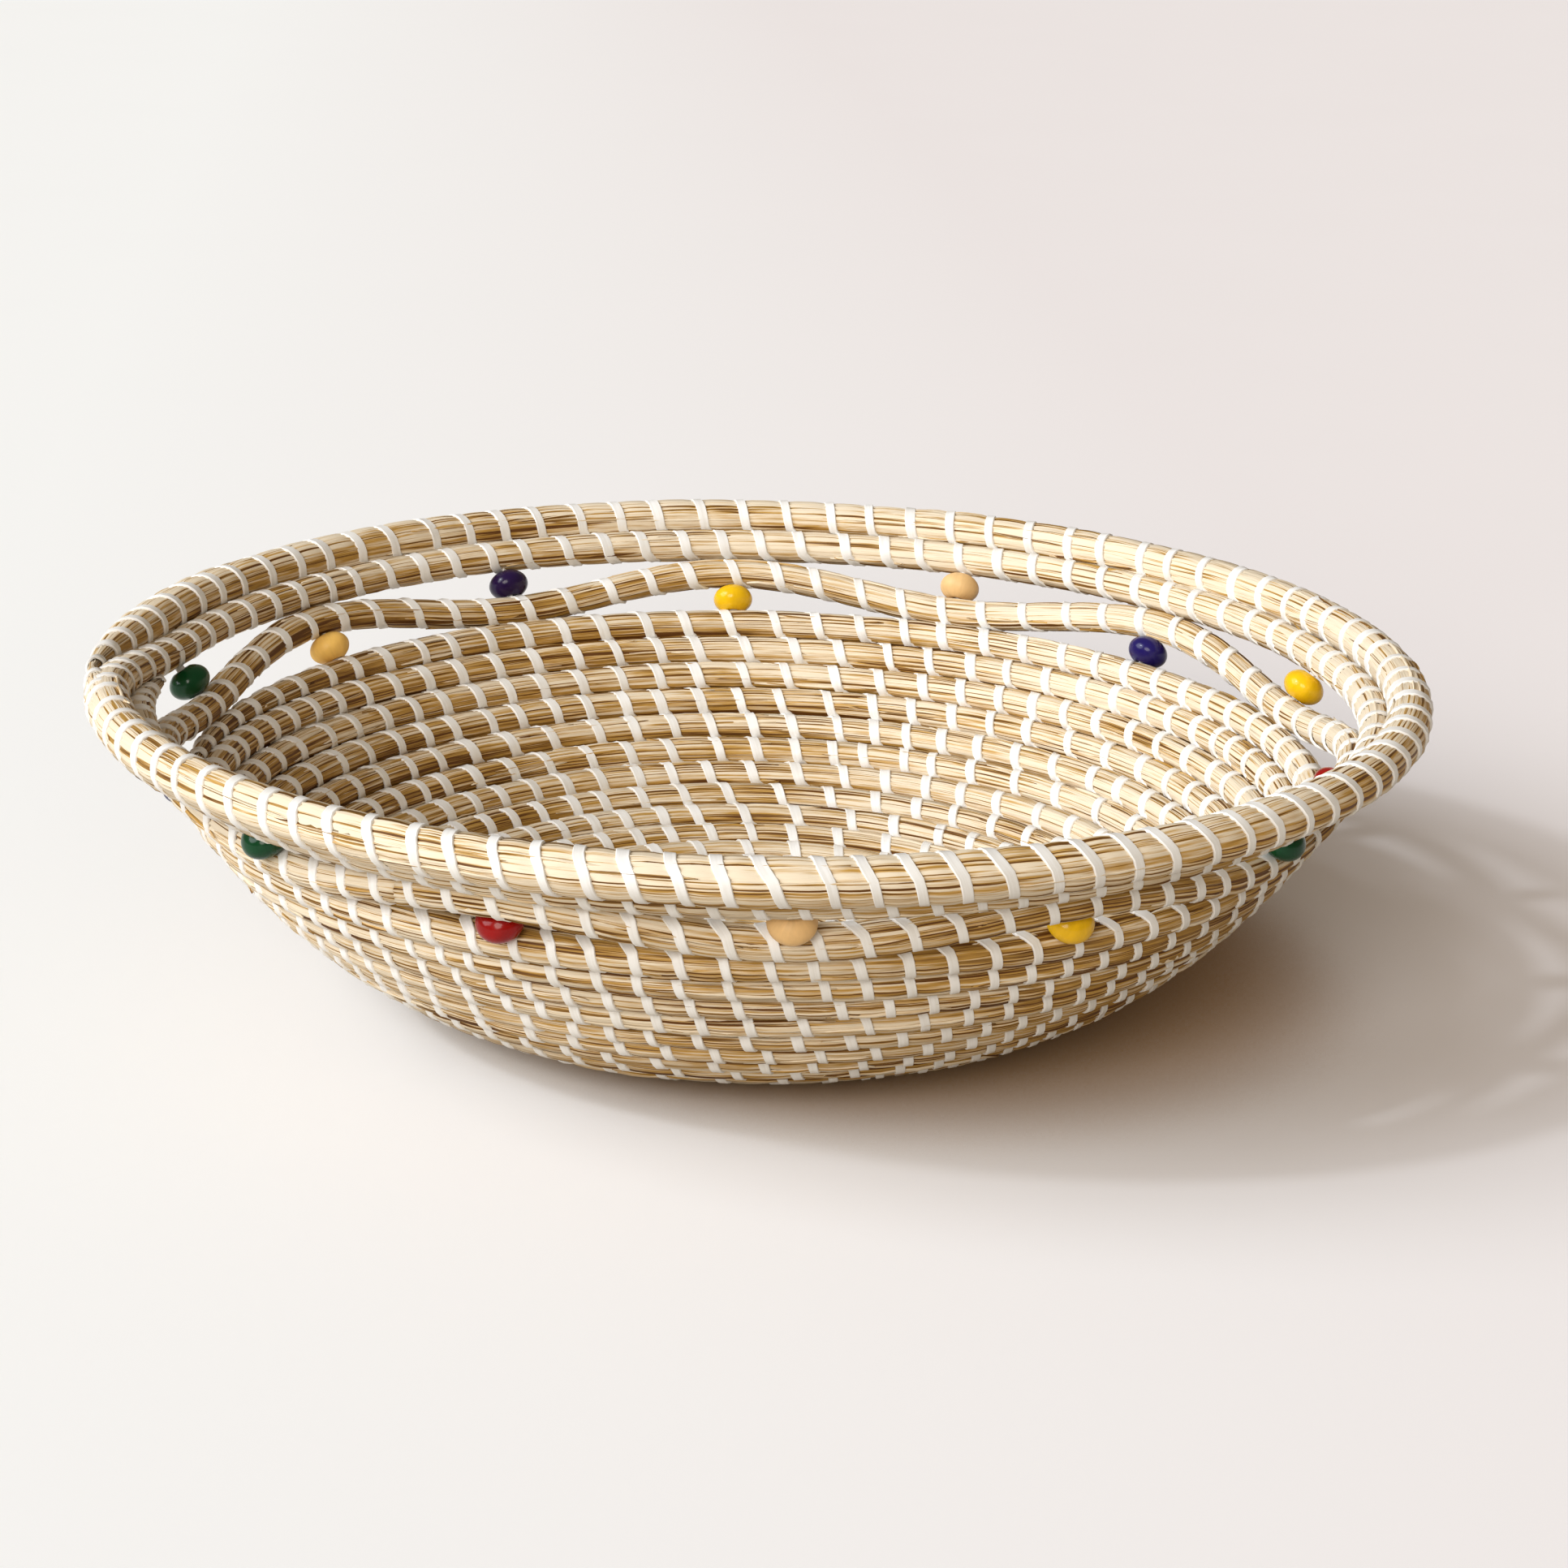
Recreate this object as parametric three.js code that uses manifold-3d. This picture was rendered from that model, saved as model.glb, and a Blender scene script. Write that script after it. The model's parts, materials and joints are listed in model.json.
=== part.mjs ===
// Coiled seagrass basket: a shallow round bowl wound from grass cord, row upon row.
// Under its two-turn rim runs an openwork band, where a wavy turn of cord leaves gaps
// that each hold a wooden bead on a strand. The beads spin on their strands.
// Millimetres, +Z up, origin at the middle of the underside, front of the basket at -Y.

import * as THREE from 'three';
import { mergeVertices } from 'three/addons/utils/BufferGeometryUtils.js';
import Module from 'manifold-3d';

const DEGREE = Math.PI / 180;
const FULL_TURN = 2 * Math.PI;

// Rows of the bowl
const ROW_PITCH = 8.7; // from one row of cord to the next
const ROW_GAP = 0.75; // left open between neighbouring rows
const BASE_TURNS = 8;
const WALL_TURNS = 12;
const CLIMB_SHARE = 1 / 3; // part of each turn in which the cord climbs to the next row
const SEAM_ANGLE = 240 * DEGREE; // where turns start and end
const BUTT_GAP = 0.6; // between two cord ends that meet

// Outline of the bowl, along a line from the middle of the base up to the rim
const FLAT_RADIUS = 62; // flat part of the base
const BEND_LENGTH = 123; // cord rows that curve from the base into the wall
const WALL_SLOPE = 54.5 * DEGREE;
const REST_CUT_SHARE = 0.1; // part of the cord's thickness worn flat on the underside

// Openwork band
const WAVES = 7;
const WAVE_CORD = 8.2; // thickness of the wavy turn
const CORD_CLEARANCE = 0.4; // where the wavy turn meets the rows above and below
const FIRST_BEAD_ANGLE = 171.7 * DEGREE;

// Beads and their strands
const BEAD_WIDTH = 12;
const BEAD_LENGTH = 8; // along the strand
const BEAD_BORE = 3.2;
const BEAD_LIP = 1.1; // flat ring round the mouth of the bore
const STRAND_WIDTH = 2.2;
const SEAT_CLEARANCE = 0.4; // at each end of a bead
const STRAND_CLEARANCE = 0.3; // at each end of a strand

// Rim
const RIM_LOWER_CORD = 8.8;
const RIM_UPPER_CORD = 11;
const RIM_GAP = 0.6;
const RIM_SLOPE = 40 * DEGREE; // the upper turn leans out over the lower one
const TIP_THICKNESS = 2; // where a tapered cord end is cut off

// Facets
const CORD_SIDES = 6;
const ROW_STEPS = 24; // per turn
const RIM_STEPS = 48;
const WAVE_STEPS = 84;
const BEAD_SIDES = 16;
const BEAD_ARC_STEPS = 6;
const STRAND_SIDES = 8;

// Derived sizes
const ROW_CORD = ROW_PITCH - ROW_GAP;
const CORNER_SHARE = 1 / (2 * Math.cos(Math.PI / CORD_SIDES)); // corner radius of a cord 1 mm thick
const REST_CUT = ROW_CORD * REST_CUT_SHARE;
const BASE_HEIGHT = ROW_CORD * CORNER_SHARE - REST_CUT; // middle of the cord in the flat base
const BEAD_SEAT = BEAD_LENGTH + 2 * SEAT_CLEARANCE;
const BEAD_COUNT = 2 * WAVES;
const STRAND_LENGTH = BEAD_SEAT - 2 * STRAND_CLEARANCE;

// Places in the band, measured along the outline of the bowl
const TOP_ROW = rowPlace(BASE_TURNS + WALL_TURNS - 1);
const TOP_ROW_EDGE = TOP_ROW + ROW_CORD / 2;
const TROUGH = TOP_ROW_EDGE + CORD_CLEARANCE + WAVE_CORD / 2;
const CREST = TOP_ROW_EDGE + BEAD_SEAT + WAVE_CORD / 2;
const RIM_EDGE = CREST + WAVE_CORD / 2 + CORD_CLEARANCE;
const RIM_LOWER = RIM_EDGE + cordReach(RIM_LOWER_CORD, WALL_SLOPE - RIM_SLOPE);
const LOWER_SEAT = TOP_ROW_EDGE + BEAD_SEAT / 2;
const UPPER_SEAT = RIM_EDGE - BEAD_SEAT / 2;

const GRASS = { color: 0xc9a56b, roughness: 0.8 };
const STRIP = { color: 0xf1eee6, roughness: 0.45 };
const BEAD_FINISHES = {
  green: { color: 0x0f5b3a, roughness: 0.2 },
  navy: { color: 0x1d2a4d, roughness: 0.2 },
  purple: { color: 0x2b2038, roughness: 0.2 },
  red: { color: 0xb3251f, roughness: 0.2 },
  yellow: { color: 0xe8b714, roughness: 0.2 },
  ochre: { color: 0xb8863f, roughness: 0.4 },
  natural: { color: 0xd9a868, roughness: 0.4 },
};
// From the first bead onwards, counter-clockwise from above; the first is in an upper gap
const BEAD_ORDER = [
  'green', 'navy', 'green', 'red', 'natural', 'yellow', 'green',
  'red', 'yellow', 'navy', 'natural', 'yellow', 'purple', 'ochre',
];

function smooth(share) {
  return share * share * (3 - 2 * share);
}

// Share of the climb done after this part of a turn
function climbed(turnPart) {
  return smooth(Math.max(0, (turnPart - 1 + CLIMB_SHARE) / CLIMB_SHARE));
}

// Distance from the middle of the base, along the outline, after a number of turns
function rowPlace(turns) {
  const whole = Math.floor(turns);
  return ROW_PITCH * (0.5 + whole + climbed(turns - whole));
}

// How far a cord reaches from its middle in a direction tilted from its flat side
function cordReach(thickness, tilt) {
  return thickness * CORNER_SHARE * Math.cos(Math.PI / CORD_SIDES - tilt);
}

function outlineSlope(distance) {
  const share = THREE.MathUtils.clamp((distance - FLAT_RADIUS) / BEND_LENGTH, 0, 1);
  return WALL_SLOPE * Math.sin((share * Math.PI) / 2);
}

// Radius, height and slope of the outline at a distance from the middle of the base
function outline(distance) {
  const steps = 64;
  const bent = Math.max(0, distance - FLAT_RADIUS);
  let radius = Math.min(distance, FLAT_RADIUS);
  let height = BASE_HEIGHT;
  for (let step = 0; step < steps; step += 1) {
    const slope = outlineSlope(FLAT_RADIUS + (bent * (step + 0.5)) / steps);
    radius += (Math.cos(slope) * bent) / steps;
    height += (Math.sin(slope) * bent) / steps;
  }
  return { radius, height, slope: outlineSlope(distance) };
}

// Corners of the cord's section, two of its flat sides facing the neighbouring rows
function sectionCorners({ angle, radius, height, slope, thickness }) {
  const corners = [];
  for (let side = 0; side < CORD_SIDES; side += 1) {
    const turn = (FULL_TURN * (side + 0.5)) / CORD_SIDES;
    const along = thickness * CORNER_SHARE * Math.cos(turn);
    const outward = thickness * CORNER_SHARE * Math.sin(turn);
    const r = radius + along * Math.cos(slope) + outward * Math.sin(slope);
    const z = height + along * Math.sin(slope) - outward * Math.cos(slope);
    corners.push(new THREE.Vector3(r * Math.cos(angle), r * Math.sin(angle), z));
  }
  return corners;
}

// One unbroken tube through the sections
function cordGeometry(sections) {
  const positions = sections.flat().flatMap((corner) => corner.toArray());
  const index = [];
  for (let ring = 0; ring + 1 < sections.length; ring += 1) {
    for (let side = 0; side < CORD_SIDES; side += 1) {
      const next = (side + 1) % CORD_SIDES;
      const a = ring * CORD_SIDES + side;
      const b = ring * CORD_SIDES + next;
      const c = a + CORD_SIDES;
      const d = b + CORD_SIDES;
      index.push(a, b, c, b, d, c);
    }
  }
  const last = (sections.length - 1) * CORD_SIDES;
  for (let side = 1; side + 1 < CORD_SIDES; side += 1) {
    index.push(0, side + 1, side);
    index.push(last, last + side, last + side + 1);
  }
  const geometry = new THREE.BufferGeometry();
  geometry.setAttribute('position', new THREE.Float32BufferAttribute(positions, 3));
  geometry.setIndex(index);
  return geometry;
}

// Least distance between the corners of one section and the sides of another
function sectionGap(corners, others) {
  let least = Infinity;
  const side = new THREE.Line3();
  const nearest = new THREE.Vector3();
  for (let end = 0; end < others.length; end += 1) {
    side.set(others[end], others[(end + 1) % others.length]);
    for (const corner of corners) {
      side.closestPointToPoint(corner, true, nearest);
      least = Math.min(least, nearest.distanceTo(corner));
    }
  }
  return least;
}

// Least gap of a wound cord to itself, between the sections one or two turns apart
function printSelfGap(name, sections, stepsPerTurn) {
  let least = Infinity;
  for (let ring = 0; ring + stepsPerTurn < sections.length; ring += 1) {
    for (let other = ring + stepsPerTurn - 1; other <= ring + stepsPerTurn + 1; other += 1) {
      if (other < sections.length) {
        least = Math.min(least, sectionGap(sections[ring], sections[other]));
        least = Math.min(least, sectionGap(sections[other], sections[ring]));
      }
    }
  }
  console.log(`${name}: least gap to itself ${least.toFixed(2)} mm`);
}

// Rows of the bowl from one count of turns to another
function rowSections(fromTurn, toTurn) {
  const steps = Math.round((toTurn - fromTurn) * ROW_STEPS);
  const sections = [];
  for (let step = 0; step <= steps; step += 1) {
    const radius = outline(rowPlace(fromTurn + step / ROW_STEPS)).radius;
    const butt = BUTT_GAP / 2 / (FULL_TURN * radius);
    const turns = THREE.MathUtils.clamp(fromTurn + step / ROW_STEPS, fromTurn + butt, toTurn - butt);
    const angle = SEAM_ANGLE + FULL_TURN * turns;
    sections.push(sectionCorners({ angle, ...outline(rowPlace(turns)), thickness: ROW_CORD }));
  }
  return sections;
}

// End of the wall's cord, tapered so that the top edge of the wall stays level
function wallTail(fromTurn) {
  const sections = [];
  const steps = Math.round(CLIMB_SHARE * ROW_STEPS);
  for (let step = 1; step <= steps; step += 1) {
    const turns = fromTurn + step / ROW_STEPS;
    const thickness = ROW_PITCH * (1 - climbed(turns - Math.floor(turns))) - ROW_GAP;
    if (thickness < TIP_THICKNESS) {
      break;
    }
    const angle = SEAM_ANGLE + FULL_TURN * turns;
    sections.push(sectionCorners({ angle, ...outline(TOP_ROW_EDGE - thickness / 2), thickness }));
  }
  return sections;
}

// Two turns of the rim: a tapered start, the lower turn, the climb, the upper turn and its tapered end
function rimSections() {
  const rise = RIM_LOWER_CORD / 2 + RIM_GAP + RIM_UPPER_CORD / 2;
  const foot = outline(RIM_LOWER);
  const sections = [];
  for (let step = Math.round(-CLIMB_SHARE * RIM_STEPS); step < 2 * RIM_STEPS; step += 1) {
    const turns = step / RIM_STEPS;
    const whole = Math.floor(turns);
    const share = climbed(turns - whole);
    const climbCord = THREE.MathUtils.lerp(RIM_LOWER_CORD, RIM_UPPER_CORD, share);
    let thickness = climbCord;
    let lift = rise * share;
    if (whole < 0) {
      thickness = rise * share - climbCord / 2 - RIM_GAP + RIM_LOWER_CORD / 2;
      lift = (thickness - RIM_LOWER_CORD) / 2;
    } else if (whole > 0) {
      thickness = rise + RIM_UPPER_CORD / 2 - rise * share - climbCord / 2 - RIM_GAP;
      lift = rise + (RIM_UPPER_CORD - thickness) / 2;
    }
    if (thickness >= TIP_THICKNESS) {
      sections.push(sectionCorners({
        angle: SEAM_ANGLE + FULL_TURN * turns,
        radius: foot.radius + lift * Math.cos(RIM_SLOPE),
        height: foot.height + lift * Math.sin(RIM_SLOPE),
        slope: RIM_SLOPE,
        thickness,
      }));
    }
  }
  return sections;
}

function beadAngle(bead) {
  return FIRST_BEAD_ANGLE + (FULL_TURN * bead) / BEAD_COUNT;
}

// The wavy turn, down under each upper bead and up over each lower one
function waveSections() {
  const butt = BUTT_GAP / 2 / outline(TROUGH).radius;
  const sections = [];
  for (let step = 0; step <= WAVE_STEPS; step += 1) {
    const turn = THREE.MathUtils.clamp((FULL_TURN * step) / WAVE_STEPS, butt, FULL_TURN - butt);
    const angle = SEAM_ANGLE + turn;
    const dip = (1 + Math.cos(WAVES * (angle - FIRST_BEAD_ANGLE))) / 2;
    const place = outline(THREE.MathUtils.lerp(CREST, TROUGH, dip));
    sections.push(sectionCorners({ angle, ...place, thickness: WAVE_CORD }));
  }
  return sections;
}

// Round bead with a bore along Y
function beadGeometry() {
  const lipRadius = BEAD_BORE / 2 + BEAD_LIP;
  const arcEnd = Math.acos(lipRadius / (BEAD_WIDTH / 2));
  const profile = [new THREE.Vector2(BEAD_BORE / 2, -BEAD_LENGTH / 2)];
  for (let step = 0; step <= BEAD_ARC_STEPS; step += 1) {
    const turn = THREE.MathUtils.lerp(-arcEnd, arcEnd, step / BEAD_ARC_STEPS);
    const height = ((BEAD_LENGTH / 2) * Math.sin(turn)) / Math.sin(arcEnd);
    profile.push(new THREE.Vector2((BEAD_WIDTH / 2) * Math.cos(turn), height));
  }
  profile.push(new THREE.Vector2(BEAD_BORE / 2, BEAD_LENGTH / 2));
  profile.push(profile[0].clone());
  return new THREE.LatheGeometry(profile, BEAD_SIDES);
}

const wasm = await Module();
wasm.setup();

function toSolid(geometry) {
  const bare = geometry.clone();
  bare.deleteAttribute('normal');
  bare.deleteAttribute('uv');
  const merged = mergeVertices(bare);
  return new wasm.Manifold(new wasm.Mesh({
    numProp: 3,
    vertProperties: new Float32Array(merged.attributes.position.array),
    triVerts: new Uint32Array(merged.index.array),
  }));
}

function cut(geometry, tool) {
  const mesh = toSolid(geometry).subtract(toSolid(tool)).getMesh();
  const result = new THREE.BufferGeometry();
  result.setAttribute('position', new THREE.BufferAttribute(mesh.vertProperties, 3));
  result.setIndex(new THREE.BufferAttribute(mesh.triVerts, 1));
  return result;
}

// Slab that takes away all below the floor, wider than the base
function floorSlab() {
  const side = 4 * ROW_PITCH * (BASE_TURNS + WALL_TURNS);
  const slab = new THREE.BoxGeometry(side, side, side);
  slab.translate(0, 0, -side / 2);
  return slab;
}

const basket = new THREE.Group();

function addMesh(name, geometry, finish) {
  const material = new THREE.MeshStandardMaterial({ ...finish, metalness: 0 });
  const mesh = new THREE.Mesh(geometry, material);
  mesh.name = name;
  basket.add(mesh);
  return mesh;
}

const baseSections = rowSections(0, BASE_TURNS);
printSelfGap('base_coil', baseSections, ROW_STEPS);
addMesh('base_coil', cut(cordGeometry(baseSections), floorSlab()), GRASS);

const wallLevel = BASE_TURNS + WALL_TURNS - CLIMB_SHARE;
const wallRows = [...rowSections(BASE_TURNS, wallLevel), ...wallTail(wallLevel)];
printSelfGap('wall_coil', wallRows, ROW_STEPS);
addMesh('wall_coil', cordGeometry(wallRows), GRASS);

const rimTurns = rimSections();
printSelfGap('rim_coil', rimTurns, RIM_STEPS);
addMesh('rim_coil', cordGeometry(rimTurns), GRASS);

const waveTurn = waveSections();
const waveEnds = sectionGap(waveTurn[0], waveTurn[waveTurn.length - 1]);
console.log(`wave_coil: gap between its ends ${waveEnds.toFixed(2)} mm`);
addMesh('wave_coil', cordGeometry(waveTurn), GRASS);

// Beads and strands, each lying along the slope of the wall at its own angle
BEAD_ORDER.forEach((finish, bead) => {
  const seat = outline(bead % 2 === 0 ? UPPER_SEAT : LOWER_SEAT);
  const angle = beadAngle(bead);
  const place = new THREE.Vector3(
    seat.radius * Math.cos(angle),
    seat.radius * Math.sin(angle),
    seat.height,
  );
  const axis = new THREE.Vector3(
    Math.cos(seat.slope) * Math.cos(angle),
    Math.cos(seat.slope) * Math.sin(angle),
    Math.sin(seat.slope),
  );
  const turn = new THREE.Quaternion().setFromUnitVectors(new THREE.Vector3(0, 1, 0), axis);
  const number = String(bead + 1).padStart(2, '0');
  const strand = new THREE.CylinderGeometry(
    STRAND_WIDTH / 2,
    STRAND_WIDTH / 2,
    STRAND_LENGTH,
    STRAND_SIDES,
  );
  for (const mesh of [
    addMesh(`bead_${number}`, beadGeometry(), BEAD_FINISHES[finish]),
    addMesh(`bead_strand_${number}`, strand, STRIP),
  ]) {
    mesh.position.copy(place);
    mesh.quaternion.copy(turn);
  }
});

export default basket;
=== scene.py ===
"""Seagrass basket: wound rows of grass cord, sewn with white strip, under a beaded openwork band."""

import json
import math
from collections import namedtuple

import bpy
import numpy as np
from bpy.props import FloatProperty, FloatVectorProperty, IntProperty, PointerProperty
from mathutils import Matrix, Vector


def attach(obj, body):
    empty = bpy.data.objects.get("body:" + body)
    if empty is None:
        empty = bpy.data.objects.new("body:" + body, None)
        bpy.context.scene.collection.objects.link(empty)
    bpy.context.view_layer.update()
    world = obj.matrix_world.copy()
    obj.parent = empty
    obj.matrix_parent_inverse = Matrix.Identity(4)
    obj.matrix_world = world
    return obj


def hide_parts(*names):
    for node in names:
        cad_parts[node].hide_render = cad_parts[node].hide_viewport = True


bl_info = {
    "name": "Seagrass Basket",
    "version": (1, 0, 0),
    "blender": (4, 5, 0),
    "location": "View3D > Sidebar > Basket",
    "description": "Builds a coiled seagrass basket with a beaded openwork band",
    "category": "Add Mesh",
}

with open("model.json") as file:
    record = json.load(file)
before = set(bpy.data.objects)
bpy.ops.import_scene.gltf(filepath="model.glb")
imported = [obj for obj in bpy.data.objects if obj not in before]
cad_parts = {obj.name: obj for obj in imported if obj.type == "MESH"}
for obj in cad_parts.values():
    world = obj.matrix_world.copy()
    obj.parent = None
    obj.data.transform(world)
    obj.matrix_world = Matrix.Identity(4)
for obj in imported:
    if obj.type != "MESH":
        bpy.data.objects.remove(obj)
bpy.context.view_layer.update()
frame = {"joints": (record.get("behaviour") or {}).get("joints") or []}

FULL_TURN = 2 * math.pi
FRONT = 3 * math.pi / 2  # angle of the front, at -Y
BASKET_BODY = "basket"
CORD_UV = "cord"  # map along and across a cord
TINT = "tint"  # attribute that says how pale each point of the grass is, painted light and painted shade included

# Wrap is the angle round a cord: 0 faces the inside of the bowl
UPPER_GROOVE = math.pi / 2
LOWER_GROOVE = 3 * math.pi / 2
GROOVE_WIDTH = 0.3
WRAP_SAMPLES = 241

OUTLINE_STEPS = 64
TURN_SAMPLES = 240  # points on each turn of the rows
BAND_SAMPLES = 1681  # points on the wavy turn and on the rim
UNDERSIDE = 0.0004  # the base is worn flat at this height
LOWER_WALL = 0.6  # share of the wall's turns that its lower piece has
LENGTH_SLACK = 1e-9

# fill: section over the cord's thickness, up the wall and through it
# shares: way to the next stitch over inner face, upper groove, outer face and lower groove
# least: closest stitches, as a share of their spacing
Winding = namedtuple("Winding", "fill shares least stitch_seed grass_seed")
ROW_WINDING = Winding((1.11, 1.10), (0.30, 0.20, 0.30, 0.20), 0.55, 11, 100)
WAVE_WINDING = Winding((1.06, 1.08), (0.32, 0.16, 0.36, 0.16), 0.4, 12, 200)
RIM_WINDING = Winding((1.06, 1.09), (0.26, 0.12, 0.46, 0.16), 0.4, 13, 300)

# Swelling along a cord: share of its thickness, rate and start
SWELLS = ((0.012, 61.0, 0.0), (0.010, 143.0, 1.7))
PINCH_REACH = 0.75  # of the strip's width, drawn in beside a stitch
ROW_GROOVE_PAINTED_SHADE = 0.35  # painted shade: how much darker the grass is where rows touch
RIM_PALER = 0.16  # how much paler the rim is than the rows
PAINTED_LIGHT_SIDE = np.array([-1.0, 0.05, 0.2])  # painted light and shade: faces turned this way, to the left lamp and up, have paler grass, faces turned away darker grass

# Stitches of the rows
LEVEL_PART = 0.3  # part of a turn that lies level
LEAST_COLUMNS = 3
EVENING_PASSES = 5
KEPT, DRAWN = 0.6, 0.2  # shares of a column's own place and of those beside it
STITCH_SCATTER = 0.06  # of the spacing
DRIFT = 0.09
DRIFT_WAVES = (2, 3, 5)
TURN_END = 0.9999

# From the first bead onwards, counter-clockwise from above
BEAD_ORDER = (
    "green", "navy", "green", "red", "natural", "yellow", "green",
    "red", "yellow", "navy", "natural", "yellow", "purple", "ochre",
)
BEAD_NODES = [f"bead_{number:02d}" for number in range(1, len(BEAD_ORDER) + 1)]


def length_prop(name, description, default):
    return FloatProperty(name=name, description=description, default=default, unit="LENGTH", precision=5)


def angle_prop(name, description, degrees):
    return FloatProperty(
        name=name, description=description, default=math.radians(degrees), subtype="ANGLE", unit="ROTATION"
    )


def share_prop(name, description, default):
    return FloatProperty(name=name, description=description, default=default, subtype="FACTOR")


def number_prop(name, description, default):
    return FloatProperty(name=name, description=description, default=default)


def place_prop(name, description, default):
    return FloatVectorProperty(name=name, description=description, default=default, unit="LENGTH")


def colour_prop(name, description, default):
    return FloatVectorProperty(
        name=name, description=description, default=default, subtype="COLOR", size=3, min=0.0, max=1.0
    )


class BowlSizes(bpy.types.PropertyGroup):
    """Sizes of the wound bowl"""

    row_pitch: length_prop("Row pitch", "From one row of cord to the next", 0.0087)
    row_cord: length_prop("Row cord", "Thickness of the cord between its rows", 0.00795)
    base_turns: IntProperty(name="Base turns", description="Turns in the base", default=8, min=1)
    wall_turns: IntProperty(name="Wall turns", description="Turns in the wall", default=12, min=1)
    climb_share: share_prop("Climb share", "Part of a turn in which the cord climbs a row", 1 / 3)
    seam_angle: angle_prop("Seam angle", "Where turns start and end", 240)
    flat_radius: length_prop("Flat radius", "Flat part of the base", 0.062)
    bend_length: length_prop("Bend length", "Rows that curve from the base into the wall", 0.123)
    wall_slope: angle_prop("Wall slope", "Slope of the upper wall", 54.5)
    base_height: length_prop("Base height", "Middle of the cord in the flat base", 0.003795)


class BandSizes(bpy.types.PropertyGroup):
    """Sizes of the openwork band and the rim"""

    waves: IntProperty(name="Waves", description="Waves of the wavy turn", default=7, min=1)
    wave_cord: length_prop("Wavy cord", "Thickness of the wavy turn", 0.0082)
    clearance: length_prop("Clearance", "Where the wavy turn meets the rows", 0.0004)
    seat: length_prop("Bead seat", "Height of the gap that holds a bead", 0.0088)
    first_angle: angle_prop("First bead angle", "Where the first bead sits", 171.7)
    rim_lower_cord: length_prop("Lower rim cord", "Thickness of the rim's lower turn", 0.0088)
    rim_upper_cord: length_prop("Upper rim cord", "Thickness of the rim's upper turn", 0.011)
    rim_gap: length_prop("Rim gap", "Between the turns of the rim", 0.0006)
    rim_slope: angle_prop("Rim slope", "The upper turn leans out over the lower one", 40)
    rim_climb: share_prop("Rim climb", "Part of a turn in which the rim climbs and its ends taper", 0.08)
    rim_seam: angle_prop("Rim seam", "Where the turns of the rim start and end", 197)
    tip: length_prop("Cord tip", "Thickness where a tapered cord end is cut off", 0.002)


class GrassLook(bpy.types.PropertyGroup):
    """Bundles of dry grass"""

    blades_around: IntProperty(name="Blades around", description="Blades round a cord", default=18, min=6)
    ring_step: length_prop("Ring step", "Length between the rings of a cord's mesh", 0.0022)
    ridge: length_prop("Blade ridge", "Height of a blade above the grooves beside it", 0.0006)
    loose_length: length_prop("Loose blade length", "Length of the blades that lie on a bundle", 0.034)
    loose_width: length_prop("Loose blade width", "Width of the blades that lie on a bundle", 0.0015)
    loose_spacing: length_prop("Loose blade spacing", "Cord length for each loose blade", 0.011)
    # painted light and shade: grass paler on faces turned to the left lamp, darker on faces turned away
    painted_light: share_prop("Painted light", "How much paler the grass is on the bleached side", 0.38)
    pale: colour_prop("Pale grass", "Lightest blades", (0.80, 0.69, 0.525))
    middle: colour_prop("Middle grass", "Most blades", (0.515, 0.295, 0.065))
    dark: colour_prop("Dark grass", "Brown streaks between blades", (0.115, 0.041, 0.004))


class StripLook(bpy.types.PropertyGroup):
    """White strip that is sewn round the cords"""

    width: length_prop("Strip width", "Width of the strip", 0.0031)
    thickness: length_prop("Strip thickness", "How far the strip stands above the grass", 0.00046)
    row_spacing: length_prop("Row stitch spacing", "Between stitches on the rows", 0.0119)
    wave_spacing: length_prop("Wave stitch spacing", "Between stitches on the wavy turn", 0.0122)
    rim_spacing: length_prop("Rim stitch spacing", "Between stitches on the rim", 0.0116)
    crowding: share_prop("Crowding", "How much closer the stitches sit at the front than on average", 0.12)
    outer_narrowing: share_prop("Outer narrowing", "How much narrower the strip is drawn on the outside", 0.2)
    pinch: share_prop("Pinch", "How far a stitch draws the cord in", 0.075)
    colour: colour_prop("Strip colour", "Colour of the strip", (0.86, 0.86, 0.855))


class BeadLook(bpy.types.PropertyGroup):
    """Wooden beads"""

    width: length_prop("Bead width", "Across the bead", 0.012)
    length: length_prop("Bead length", "Along the strand", 0.008)
    bore: length_prop("Bead bore", "Hole for the strand", 0.0032)
    lip: length_prop("Bead lip", "Flat ring round the mouth of the bore", 0.0011)
    green: colour_prop("Green", "Green lacquer", (0.002, 0.055, 0.016))
    navy: colour_prop("Navy", "Dark blue lacquer", (0.013, 0.008, 0.10))
    purple: colour_prop("Purple", "Deep violet lacquer", (0.016, 0.005, 0.045))
    red: colour_prop("Red", "Red lacquer", (0.30, 0.003, 0.002))
    yellow: colour_prop("Yellow", "Yellow lacquer", (0.84, 0.50, 0.007))
    ochre: colour_prop("Ochre", "Oiled darker wood", (0.88, 0.54, 0.135))
    natural: colour_prop("Natural", "Oiled pale wood", (0.80, 0.52, 0.235))


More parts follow.
